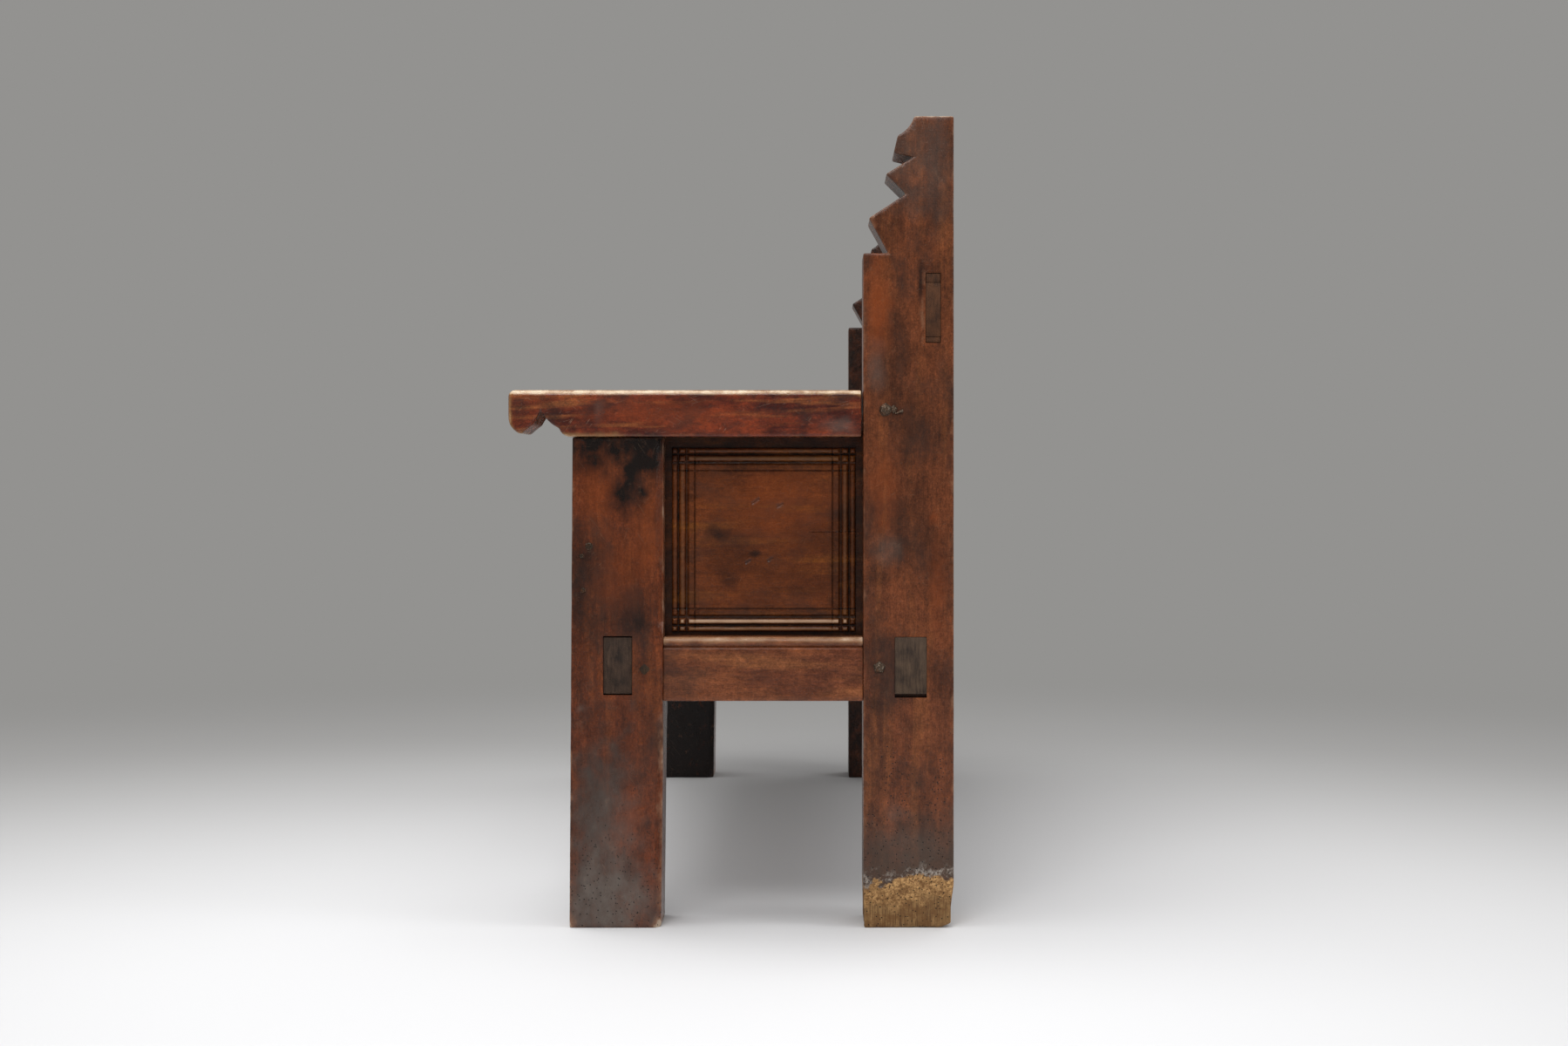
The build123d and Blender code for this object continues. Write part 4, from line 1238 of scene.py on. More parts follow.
    def _moulding(self, off_centre: float, half: float) -> float:
        """Depth of the mouldings below the field.

        Args:
            off_centre: distance from the panel's middle.
            half: half of the opening's size.

        Returns:
            The depth.
        """
        into = half - self.margin - abs(off_centre)
        if into < 0:
            return self.tongue_drop
        small, gap, large, hollow = self.members[:4]
        for bead, crown, after in ((small, self.crowns[0], gap), (large, self.crowns[1], 0.0)):
            if into < bead:
                bulge = math.sqrt(max(0.0, 1 - ((into - bead / 2) / (bead / 2)) ** 2))
                return self.deep - (self.deep - crown) * bulge
            into -= bead
            if into < after:
                return self.deep
            into -= after
        if into < hollow:
            return self.deep * 0.8 * math.sqrt(max(0.0, 1 - (into / hollow) ** 2))
        return 0.0

    def _planed(self, column: float, row: float) -> float:
        """Depth of the deeper of the two mouldings that pass a point."""
        return max(self._moulding(column, self.half[0]), self._moulding(row + self.drop, self.half[1]))

    def _scored(self, column: float, row: float) -> float:
        """How far a point lies in the scored line round the field.

        Args:
            column: place across, from the panel's middle.
            row: place up, from the panel's middle.

        Returns:
            0 beside the line to 1 at its bottom.
        """
        depths = []
        for off_centre, half in ((column, self.half[0]), (row + self.drop, self.half[1])):
            into = half - self.margin - abs(off_centre) - sum(self.members[:-1])
            depths.append(max(0.0, 1.0 - abs(2 * into / self.members[-1] - 1)))
        return max(depths)

    def _depth(self, column: float, row: float) -> float:
        """Depth below the field, with wear, dents and cracks.

        Args:
            column: place across, from the panel's middle.
            row: place up, from the panel's middle.

        Returns:
            The depth.
        """
        depth = self._planed(column, row)
        if depth < self.tongue_drop - 0.1:
            depth += self._scored(column, row) * (2.0 if depth < 1.0 else 1.1)
        spot = Vector((column, row, self.seed * 100.0))
        long, short = (rumple(spot, size) for size in self.swells)
        depth += 0.25 * long + 0.3 + 0.15 * max(0.0, short)
        return depth + sum(score.depth * score.nearness(column, row) for score in self.scores)

    def _cut(self, column: float, row: float) -> float:
        """How far a point lies in a scored line, dent or crack, 0 to 1."""
        dents = [0.75 * score.nearness(column, row) for score in self.scores]
        return max([self._scored(column, row), *dents])

    def _attributes(self, bm: Shape, cuts: list[float]) -> tuple[list[float], list[float]]:
        """Grain coordinates and marks: dirt and painted shade lie in the mouldings and round the board, and
        the crowns carry wear and a painted highlight, most on the lower mouldings.

        Args:
            bm: the finished shape, in millimetres.
            cuts: how far the face's vertices lie in a scored line, dent or crack.

        Returns:
            Flat lists of grain vectors (metres) and of mark colours.
        """
        grain, marks = [], []
        moulded, beads = sum(self.members), sum(self.members[:3])
        for number, vert in enumerate(bm.verts):
            off = vert.co - self.centre
            column, row = off.dot(self.across.way), off.z
            out = off.dot(self.facing) * MM
            grain += [out + self.seed, row * MM + self.seed * 0.53, column * MM + self.seed * 2.3]
            if number >= len(cuts):
                marks += self.back_marks
                continue
            stain, warm, scuff = mark_amounts(self.marks, vert.co, self.end_side)
            into = min(self.half[0] - abs(column), self.half[1] - abs(row + self.drop)) - self.margin
            framed = 1.0 - smooth(moulded - 6.0, moulded + 8.0, into)
            planed = self._planed(column, row)
            # painted shade with dirt in the grooves and in the margin round the board; the scored line,
            # dents and cracks darken too
            groove = self.groove_dirt_and_shade * smooth(1.4, 4.5, planed)
            lines = self.cut_dirt_and_shade * cuts[number] if into > 0 else -0.25
            dirt = min(MOST_MARK, stain + 0.08 * framed + groove + lines)
            # painted highlight with wear on the beads' crowns, strongest on the lower mouldings
            upright = self.half[1] - abs(row) > self.half[0] - abs(column)
            level = self.rub_and_highlight_low if row < 0 else self.rub_and_highlight_high
            rubbed = (self.rub_and_highlight_upright if upright else level) * framed * (1 - smooth(0.3, 1.9, planed))
            crown = rubbed if into < beads else 0.0
            marks += [dirt, warm + 0.25 * (1 - framed), scuff, crown]
        return grain, marks


# Sub-assemblies


@dataclass
class EndFrame:
    """One end: front leg, back post, arm, side rail and panel. Sizes in millimetres."""

    side: int
    finishes: Finishes
    outer: float = 775.0
    inner: float = 685.0
    leg_front: float = -214.25
    leg_back: float = -92.25
    leg_flare: float = 4.0
    leg_facet: float = 9.5
    facet_stop: float = 288.0
    facet_run: float = 22.0  # height over which the facet runs out
    leg_lean: float = 3.2
    lean_reach: float = 40.0
    post_front: float = 176.25
    post_back: float = 298.25
    post_height: float = 1090.0
    # The crest's teeth, from the post's front and down from its top
    teeth: tuple[Point, ...] = (
        (0.0, 184.0),
        (33.5, 184.0),
        (7.5, 137.0),
        (57.2, 104.6),
        (30.1, 78.0),
        (67.0, 55.0),
        (41.0, 49.0),
        (46.5, 26.0),
    )
    scraped_at: Point = (256.0, 822.0)  # middle of the scraped strip
    scraped_reach: Point = (3.6, 30.0)
    rot_height: Point = (18.0, 66.0)  # the rot fades between these heights
    rot_corner: float = 26.0  # width of the eaten corner
    arm_bottom: float = 659.0
    arm_top: float = 722.0
    arm_tip: float = -300.25
    arm_end: float = 173.75
    arm_lip: float = 6.0
    nose_round: float = 9.0
    round_steps: tuple[float, ...] = (0.5, 1.3, 2.4, 3.8, 5.4, 7.2, 9.0)  # mesh lines over the rounding
    rail_low: float = 304.0
    rail_high: float = 390.0
    rail_outer: float = 772.0
    rail_inner: float = 717.0
    bead: float = 6.5
    quirk: float = 2.0
    panel_face: float = 743.0
    front_tenon: Pocket = Pocket((-172.75, -133.75), (312.5, 391.5))
    back_tenon: Pocket = Pocket((218.75, 261.75), (309.0, 390.4))
    top_tenon: Pocket = Pocket((260.25, 280.65), (785.4, 879.2))

    @property
    def near(self) -> bool:
        """Whether this is the end that the camera faces, which carries the marks."""
        return self.side > 0

    @property
    def word(self) -> str:
        """Right or left, as in the node names."""
        return "right" if self.near else "left"

    @property
    def seed(self) -> float:
        """A number that sets this end's grain apart from the other's."""
        return 1.0 if self.near else 3.7

    @property
    def middle(self) -> float:
        """Middle of the leg's and post's thickness, away from the settle's middle."""
        return (self.outer + self.inner) / 2

    def build(self) -> list[Piece]:
        """Build the whole end.

        Returns:
            The finished pieces.
        """
        return [self.leg(), self.post(), self.arm(), self.rail(), self.panel()]

    def _timber(
        self,
        part: str,
        outline: list[Point],
        reach: Point,
        finish: Material,
        seed: float,
        **worn: object,
    ) -> Piece:
        """Build an upright or arm, cut out across the settle's end.

        Args:
            part: name of the part, without right or left.
            outline: its outline in Y and Z.
            reach: its inner and outer face along X.
            finish: its material.
            seed: sets its grain and wear.
            worn: further fields of the timber.

        Returns:
            The finished piece.
        """
        limits = tuple(sorted((self.side * reach[0], self.side * reach[1])))
        settings = {"slot": "walnut_frame", "grain": Run.Z} | worn
        return Timber(
            f"{self.word}_{part}_worn",
            f"{self.word}_{part}",
            outline=outline,
            run=Run.X,
            limits=limits,
            materials=[finish],
            seed=seed,
            end_side=self.side,
            **settings,
        ).build()

    def _chamfer(self, spot: Vector) -> Vector:
        """Take the leg's back corners down to chamfers that stop at the rail, and lean its back in.

        Args:
            spot: point on the leg.

        Returns:
            Where it goes.
        """
        stop = self.facet_stop
        below = 1.0 - smooth(stop - self.facet_run, stop, spot.z)
        above = smooth(self.rail_high + 4.0, self.rail_high + 20.0, spot.z)
        into = max(0.0, spot.y - (self.leg_back - self.leg_facet))
        half = (self.outer - self.inner) / 2
        away = min(half - into * max(below, above), spot.x * self.side - self.middle)
        away = max(into * below - half, away)
        back = smooth(self.leg_back - self.lean_reach, self.leg_back, spot.y) * max(0.0, 1.0 - spot.z / stop)
        return Vector((self.side * (self.middle + away), spot.y - self.leg_lean * back, spot.z))

    def _knocks_and_light(self, spot: Vector) -> float:
        """Wear and painted light on the leg: the lower facet is paler from wear and painted light off the
        floor, the back face beside the panel has a painted highlight, and the foot's corners and front edge
        are knocked bare.

        Args:
            spot: point on the leg.

        Returns:
            How bare it is, with the painted light, 0 to 1.
        """
        facet = self.leg_back - self.leg_facet
        # the lower facet is paler: wear and painted light off the floor
        strip = 0.32 * smooth(facet - 1.0, facet + 1.0, spot.y) * (spot.z < self.facet_stop)
        # a painted highlight along the back face beside the panel
        back_highlight = smooth(self.leg_back - 0.8, self.leg_back - 0.2, spot.y) * (spot.z > self.rail_high)
        front = spot.y - self.leg_front + self.leg_flare
        rim = min(front, self.leg_back - spot.y)
        corner = (1.0 - smooth(0.0, 26.0, spot.z)) * (1.0 - smooth(3.0, 18.0, rim))
        chips = 0.9 * (1.0 - smooth(1.0, 7.0, front)) * max(0.0, rumple(spot, 12.0))
        return max(strip, 0.6 * back_highlight, corner, chips * (1.0 - smooth(150.0, 330.0, spot.z)))

    def leg(self) -> Piece:
        """Build the front leg, its back lower corner worn to a long facet.

        Returns:
            The finished piece.
        """
        outline = [
            (self.leg_front - self.leg_flare, 0.0),
            (self.leg_back, 0.0),
            (self.leg_back, self.arm_bottom),
            (self.leg_front, self.arm_bottom),
        ]
        return self._timber(
            "front_leg",
            outline,
            (self.inner, self.outer),
            self.finishes.leg,
            self.seed,
            rubbed=self._knocks_and_light,
            extra_lines={
                Run.Y: [*self.front_tenon.across, self.leg_back - self.leg_facet],
                Run.Z: list(self.front_tenon.height),
            },
            pockets=[self.front_tenon],
            # painted shade and old dirt on the inner face; the far leg, deep under the seat, gets the most
            inner_dirt_and_shade=0.8 if self.near else 1.5,
            marks=LEG_MARKS if self.near else {},
            carve=self._chamfer,
        )

    def _rot_foot(self, spot: Vector) -> Vector:
        """Eat into the post's foot, most at its back lower corner.

        Args:
            spot: point on the post.

        Returns:
            Where it goes.
        """
        low = 1.0 - smooth(*self.rot_height, spot.z + 9.0 * rumple(spot, 30.0))
        middle = Vector((self.middle * self.side, (self.post_front + self.post_back) / 2, spot.z))
        inward = (middle - spot).normalized()
        spot = spot + inward * low * (1.2 + 1.6 * max(0.0, rumple(spot, 7.0)))
        corner = max(0.0, spot.y - (self.post_back - self.rot_corner)) / self.rot_corner
        return Vector((spot.x, spot.y - 3.0 * low * corner, max(spot.z, 8.0 * corner**2)))

    def _scraped_and_top_highlight(self, spot: Vector) -> float:
        """A strip beside the top rail's tenon, scraped when it was last wedged, and wear with a painted
        highlight along the post's top.

        Args:
            spot: point on the post.

        Returns:
            How bare it is, with the painted highlight, 0 to 1.
        """
        off_y = (spot.y - self.scraped_at[0]) / self.scraped_reach[0]
        off_z = (spot.z - self.scraped_at[1]) / self.scraped_reach[1]
        strip = 0.7 * math.exp(-(off_y**2)) * math.exp(-(off_z**2))
        # the post's very top: wear and a painted highlight
        return max(strip, 0.8 * smooth(self.post_height - 2.5, self.post_height - 0.5, spot.z))

    def post(self) -> Piece:
        """Build the back post with its saw-tooth crest and rotted foot.

        Returns:
            The finished piece.
        """
        front, top = self.post_front, self.post_height
        teeth = [(front + across, top - down) for across, down in self.teeth]
        scraped = (self.scraped_at[0] - self.scraped_reach[0], self.scraped_at[0])
        outline = [
            (self.post_back, top),
            (self.post_back, 0.0),
            (front, 0.0),
            *teeth,
            *arc(teeth[-1], (front + 61.2, top - 14.5), (front + 68.7, top), 6),
        ]
        return self._timber(
            "back_post",
            outline,
            (self.inner, self.outer),
            self.finishes.post if self.near else self.finishes.sound_post,
            self.seed + 1.3,
            arris=2.6,
            rubbed=self._scraped_and_top_highlight,
            extra_lines={
                Run.Y: [*self.back_tenon.across, *self.top_tenon.across, *scraped],
                Run.Z: [*self.back_tenon.height, *self.top_tenon.height],
            },
            pockets=[self.back_tenon, self.top_tenon],
            # the far post is darkened up its whole inner face: painted shade and old dirt
            inner_dirt_and_shade=0.65 if self.near else 1.0,
            dirt_and_shade_top=420.0 if self.near else 1200.0,
            marks=POST_MARKS if self.near else {},
            carve=self._rot_foot if self.near else None,
        )

    def _hand_worn(self, spot: Vector) -> Vector:
        """Round the arm's long upper corners and those over its nose, as on a soft-edged box.

        Args:
            spot: point on the arm.

        Returns:
            Where it goes.
        """
        radius = self.nose_round
        off = spot.x * self.side - self.middle
        half = (self.outer - self.inner) / 2 + self.arm_lip - radius
        front, top = self.arm_tip + radius, self.arm_top - radius
        core = Vector((max(-half, min(half, off)), max(front, spot.y), min(top, spot.z)))
        out = Vector((off, spot.y, spot.z)) - core
        if out.length > radius:
            out = out * (radius / out.length)
        place = core + out
        return Vector((self.side * (place.x + self.middle), place.y, place.z))

    def _hand_wear_and_highlight(self, spot: Vector) -> float:
        """Wear with a painted highlight along the arm's rounded top outer corner, and bare wood over its
        nose and along its lower front edge.

        Args:
            spot: point on the arm.

        Returns:
            How bare it is, with the painted highlight, 0 to 1.
        """
        tip, low, top = self.arm_tip, self.arm_bottom, self.arm_top
        outside = smooth(self.outer - 7.0, self.outer, spot.x * self.side)
        # the rounded top outer corner: wear and a painted highlight
        corner = 0.95 * smooth(top - 10.5, top - 3.0, spot.z) * outside
        nose = 0.55 * (1.0 - smooth(tip + 2.0, tip + 12.0, spot.y))
        forward = 1.0 - smooth(tip + 90.0, tip + 230.0, spot.y)
        under = 0.7 * (1.0 - smooth(low + 3.0, low + 11.0, spot.z)) * forward
        return max(corner, nose, under)

    def arm(self) -> Piece:
        """Build the arm with its carved nose and hand-worn top.

        Returns:
            The finished piece.
        """
        tip, low, top, radius = self.arm_tip, self.arm_bottom, self.arm_top, self.nose_round
        corner = radius - math.sqrt(0.5) * radius
        outline = [
            (tip + 81.0, low),
            *arc((tip + 81.0, low), (tip + 73.0, low + 4.5), (tip + 69.0, low + 11.3), 4),
            *arc((tip + 69.0, low + 11.3), (tip + 54.6, low + 21.0), (tip + 44.6, low + 35.4), 6),
            (tip + 33.8, low + 17.2),
            (tip + 17.0, low + 3.6),
            *arc((tip + 17.0, low + 3.6), (tip + 4.6, low + 13.7), (tip, low + 29.0), 6),
            (tip, top - radius),
            *arc((tip, top - radius), (tip + corner, top - corner), (tip + radius, top), 4),
            (self.arm_end, top),
            (self.arm_end, low),
        ]
        outer_face, inner_face = self.outer + self.arm_lip, self.inner - self.arm_lip
        faces = [x for step in self.round_steps for x in (outer_face - step, inner_face + step)]
        return self._timber(
            "arm",
            outline,
            (inner_face, outer_face),
            self.finishes.arm,
            self.seed + 0.6,
            slot="walnut_arm",
            grain=Run.Y,
            grid=6.0,
            wear_reach=4.0,
            wear_share=0.35,
            rubbed=self._hand_wear_and_highlight,
            carve=self._hand_worn,
            extra_lines={
                Run.X: [self.side * x for x in faces],
                Run.Y: [tip + step for step in self.round_steps],
                Run.Z: [top - step for step in self.round_steps],
            },
            marks=ARM_MARKS if self.near else {},
        )

    def _bead_wear_and_highlight(self, spot: Vector) -> float:
        """The rail's bead is worn bare, paler towards its top, where the paleness is also a painted
        highlight.

        Args:
            spot: point on the rail.

        Returns:
            How bare it is, with the painted highlight, 0 to 1.
        """
        top, bead = self.rail_high, self.bead
        outside = spot.x * self.side > self.rail_outer - bead - 3.0
        if not outside or spot.z <= top - 2 * bead + 1.5:
            return 0.0
        # paler towards the bead's top: wear and a painted highlight
        return 0.25 + 0.6 * smooth(top - bead - 4.0, top - bead + 3.0, spot.z)

    def rail(self) -> Piece:
        """Build the side rail with a quirk bead along its upper outer corner.

        Returns:
            The finished piece.
        """
        top, out, bead = self.rail_high, self.rail_outer, self.bead
        foot = (out - 3.5, top - 2 * bead - 0.6)
        outline = [
            (out - bead, top),
            (self.rail_inner, top),
            (self.rail_inner, self.rail_low),
            (out, self.rail_low),
            (out, top - 2 * bead - self.quirk),
            foot,
            *arc(foot, (out, top - bead), (out - bead, top), 8)[:-1],
        ]
        return Timber(
            f"{self.word}_side_rail_worn",
            f"{self.word}_side_rail",
            "walnut_frame",
            [(self.side * x, z) for x, z in outline],
            run=Run.Y,
            limits=(self.leg_back, self.post_front),
            grain=Run.Y,
            materials=[self.finishes.rail],
            seed=self.seed + 2.1,
            arris=1.4,
            wear_share=0.3,
            rubbed=self._bead_wear_and_highlight,
            end_side=self.side,
        ).build()

    def panel(self) -> Piece:
        """Build the moulded side panel, dented and cracked on the near end.

        Returns:
            The finished piece.
        """
        along, up = (self.leg_back, self.post_front), (self.rail_high, self.arm_bottom)
        return MouldedPanel(
            f"{self.word}_side_panel_moulded",
            f"{self.word}_side_panel",
            self.finishes.panel,
            centre=Vector((self.side * self.panel_face, sum(along) / 2, sum(up) / 2)),
            across=Run.Y,
            facing=Vector((self.side, 0, 0)),
            half=((along[1] - along[0]) / 2, (up[1] - up[0]) / 2),
            seed=self.seed + 0.9,
            field_grid=1.1 if self.near else 8.0,
            drop=4.5,
            # a strong painted highlight with wear on the lower mouldings' crowns
            rub_and_highlight_low=1.1,
            scores=PANEL_SCORES if self.near else [],
            marks=PANEL_MARKS if self.near else {},
            end_side=self.side,
        ).build()


@dataclass
class LongRail:
    """A rail between the end frames, with what shows of its tenons. Sizes in millimetres."""

    node: str
    slot: str
    across: Point
    height: Point
    seed: float
    materials: list[Material]  # wood, then the tenon's end grain
    tenon: Pocket | None = None
    reach: float = 775.0  # how far out the tenon ends
    inner: float = 685.0
    stub: float = 11.0

    def build(self) -> Piece:
        """Build the rail.

        Returns:
            The finished piece.
        """
        (y0, y1), (z0, z1) = self.across, self.height
        return Timber(
            f"{self.node}_worn",
            self.node,
            self.slot,
            [(y0, z0), (y1, z0), (y1, z1), (y0, z1)],
            run=Run.X,
            limits=(-self.inner, self.inner),
            grain=Run.X,
            materials=self.materials,
            seed=self.seed,
            face=Run.Y,
            long_grid=14.0,
            grid=11.0,
            stubs=self._tenon_ends if self.tenon else None,
        ).build()

    def _tenon_ends(self, bm: Shape) -> None:
        """Add the tenon ends that show in the mortise mouths.

        Args:
            bm: shape that gets them.
        """
        (y0, y1), (z0, z1) = self.tenon.across, self.tenon.height
        for side in reversed(SIDES):
            middle = (side * (self.reach - self.stub / 2), (y0 + y1) / 2, (z0 + z1) / 2)
            size = (self.stub, y1 - y0, z1 - z0)
            eased_block(bm, size, Matrix.Translation(middle), offset=0.9, material=1)


@dataclass
class LongRails:
    """The two seat rails and the two back rails. Sizes in millimetres."""

    finishes: Finishes
    outer: float = 775.0
    seat_height: Point = (304.0, 400.0)
    tenon_height: Point = (314.0, 390.0)
    back_across: Point = (253.45, 287.45)

    def build(self) -> list[Piece]:
        """Build the rails.

        Returns:
            The finished pieces.
        """
        back_wood = [self.finishes.back, self.finishes.top_tenon]
        front = LongRail(
            "front_seat_rail",
            "walnut_frame",
            across=(-179.25, -127.25),
            height=self.seat_height,
            seed=2.0,
            materials=[self.finishes.leg, self.finishes.front_tenon],
            tenon=Pocket((-172.55, -133.95), self.tenon_height),
            reach=self.outer - 1.5,
        )
        back = LongRail(
            "back_seat_rail",
            "walnut_frame",
            across=(214.25, 266.25),
            height=self.seat_height,
            seed=3.0,
            materials=[self.finishes.leg, self.finishes.back_tenon],
            tenon=Pocket((218.95, 261.55), self.tenon_height),
            reach=self.outer + 1.0,
        )
        top = LongRail(
            "back_top_rail",
            "walnut_back",
            across=self.back_across,
            height=(775.0, 890.0),
            seed=4.0,
            materials=back_wood,
            tenon=Pocket((260.45, 280.45), (793.6, 866.0)),
            reach=self.outer,
        )
        bottom = LongRail(
            "back_bottom_rail",
            "walnut_back",
            across=self.back_across,
            height=(424.0, 500.0),
            seed=5.0,
            materials=back_wood,
        )
        return [rail.build() for rail in (front, back, top, bottom)]


@dataclass
class Seat:
    """Three seat boards, notched round legs and posts. Sizes in millimetres."""

    finishes: Finishes
    low: float = 400.0
    high: float = 430.0
    end: float = 716.0
    end_at_legs: float = 684.0
    front: float = -210.25
    back: float = 252.45
    gap: float = 1.0
    leg_back: float = -91.25
    post_front: float = 175.25

    def build(self) -> list[Piece]:
        """Build the boards.

        Returns:
            The finished pieces.
        """
        width = (self.back - self.front + self.gap) / 3 - self.gap
        pieces = []
        for number, word in enumerate(("front", "middle", "back")):
            start = self.front + number * (width + self.gap)
            pieces.append(self._board(word, start, start + width, 6.0 + 1.7 * number))
        return pieces

    def _outline(self, start: float, end: float) -> list[Point]:
        """Plan of a board, with its notches.

        Args:
            start: its front edge, along Y.
            end: its back edge.

        Returns:
            The plan's corners, in X and Y.
        """
        wide, narrow = self.end, self.end_at_legs
        right = [(wide, start), (wide, end)]
        if start < self.leg_back:
            right = [(narrow, start), (narrow, self.leg_back), (wide, self.leg_back), (wide, end)]
        if end > self.post_front:
            right = [(wide, start), (wide, self.post_front), (narrow, self.post_front), (narrow, end)]
        return right + [(-x, y) for x, y in reversed(right)]

    def _at_knees(self, edge: Edge) -> bool:
        """Whether an edge is the seat's upper front edge."""
        return all(v.co.z > self.high - 0.1 and v.co.y < self.front + 0.1 for v in edge.verts)

    def _board(self, word: str, start: float, end: float, seed: float) -> Piece:
        """Build one board; the front one is rounded where knees rub it.

        Args:
            word: which board.
            start: its front edge, along Y.
            end: its back edge.
            seed: sets its grain and wear.

        Returns:
            The finished piece.
        """
        return Timber(
            f"seat_board_{word}_worn",
            f"seat_board_{word}",
            "walnut_seat",
            self._outline(start, end),
            run=Run.Z,
            limits=(self.low, self.high),
            grain=Run.X,
            materials=[self.finishes.seat],
            seed=seed,
            face=Run.Z,
            arris=1.6,
            grid=12.0,
            long_grid=12.0,
            wear_reach=5.0,
            broad=self._at_knees if word == "front" else None,
            broad_round=8.0,
        ).build()


@dataclass
class FramedBack:
    """Muntins and moulded panels of the back. Sizes in millimetres."""

    finishes: Finishes
    inner: float = 685.0
    muntin: float = 88.0
    low: float = 500.0
    high: float = 775.0
    front: float = 253.45
    rear: float = 287.45
    face: float = 258.45

    def build(self) -> list[Piece]:
        """Build muntins and panels.

        Returns:
            The finished pieces.
        """
        opening = (2 * self.inner - 3 * self.muntin) / 4
        pitch = opening + self.muntin
        pieces = []
        for number in (1, 2, 3):
            middle = (number - 2) * pitch
            x0, x1 = middle - self.muntin / 2, middle + self.muntin / 2
            muntin = Timber(
                f"back_muntin_{number}_worn",
                f"back_muntin_{number}",
                "walnut_back",
                [(x0, self.front), (x1, self.front), (x1, self.rear), (x0, self.rear)],
                run=Run.Z,
                limits=(self.low, self.high),
                grain=Run.Z,
                materials=[self.finishes.back],
                seed=9.0 + number * 1.3,
                face=Run.Y,
                grid=11.0,
                long_grid=11.0,
            )
            pieces.append(muntin.build())
        for number in (1, 2, 3, 4):
            panel = MouldedPanel(
                f"back_panel_{number}_moulded",
                f"back_panel_{number}",
                self.finishes.panel,
                centre=Vector(((number - 2.5) * pitch, self.face, (self.low + self.high) / 2)),
                across=Run.X,
                facing=Vector((0, -1, 0)),
                half=(opening / 2, (self.high - self.low) / 2),
                seed=14.0 + number * 1.1,
            )
            pieces.append(panel.build())
        return pieces


@dataclass(frozen=True)
class NailHead:
    """A hammered nail head, a low faceted dome on a face. Millimetres."""

    at: Vector  # middle of the head on the face
    facing: Vector
    width: float
    rise: float
    sides: int  # hammer facets round it
    seed: float  # sets its unevenness
    crown: float = 0.33  # radius of the flat on top, as a share of the width
    eased: float = 0.18  # rounding, as a share of the rise
    uneven: float = 0.16
    sunk: float = 0.4

    def add_to(self, bm: Shape) -> None:
        """Add the head to a shape.

        Args:
            bm: shape that gets it.
        """
        made = bmesh.ops.create_cone(
            bm,
            cap_ends=True,
            segments=self.sides,
            radius1=self.width / 2,
            radius2=self.width * self.crown,
            depth=self.rise,
        )["verts"]
        made = ease_all(bm, made, self.rise * self.eased)
        for vert in made:
            push = 1.0 + self.uneven * rumple(vert.co + Vector((self.seed * 31.0, 0, 0)), 5.0)
            vert.co = Vector((vert.co.x * push, vert.co.y * push, vert.co.z))
        turn = self.facing.to_track_quat("Z", "Y").to_matrix().to_4x4()
        place = Matrix.Translation(self.at + self.facing * (self.rise / 2 - self.sunk))
        bmesh.ops.transform(bm, matrix=place @ turn, verts=made)


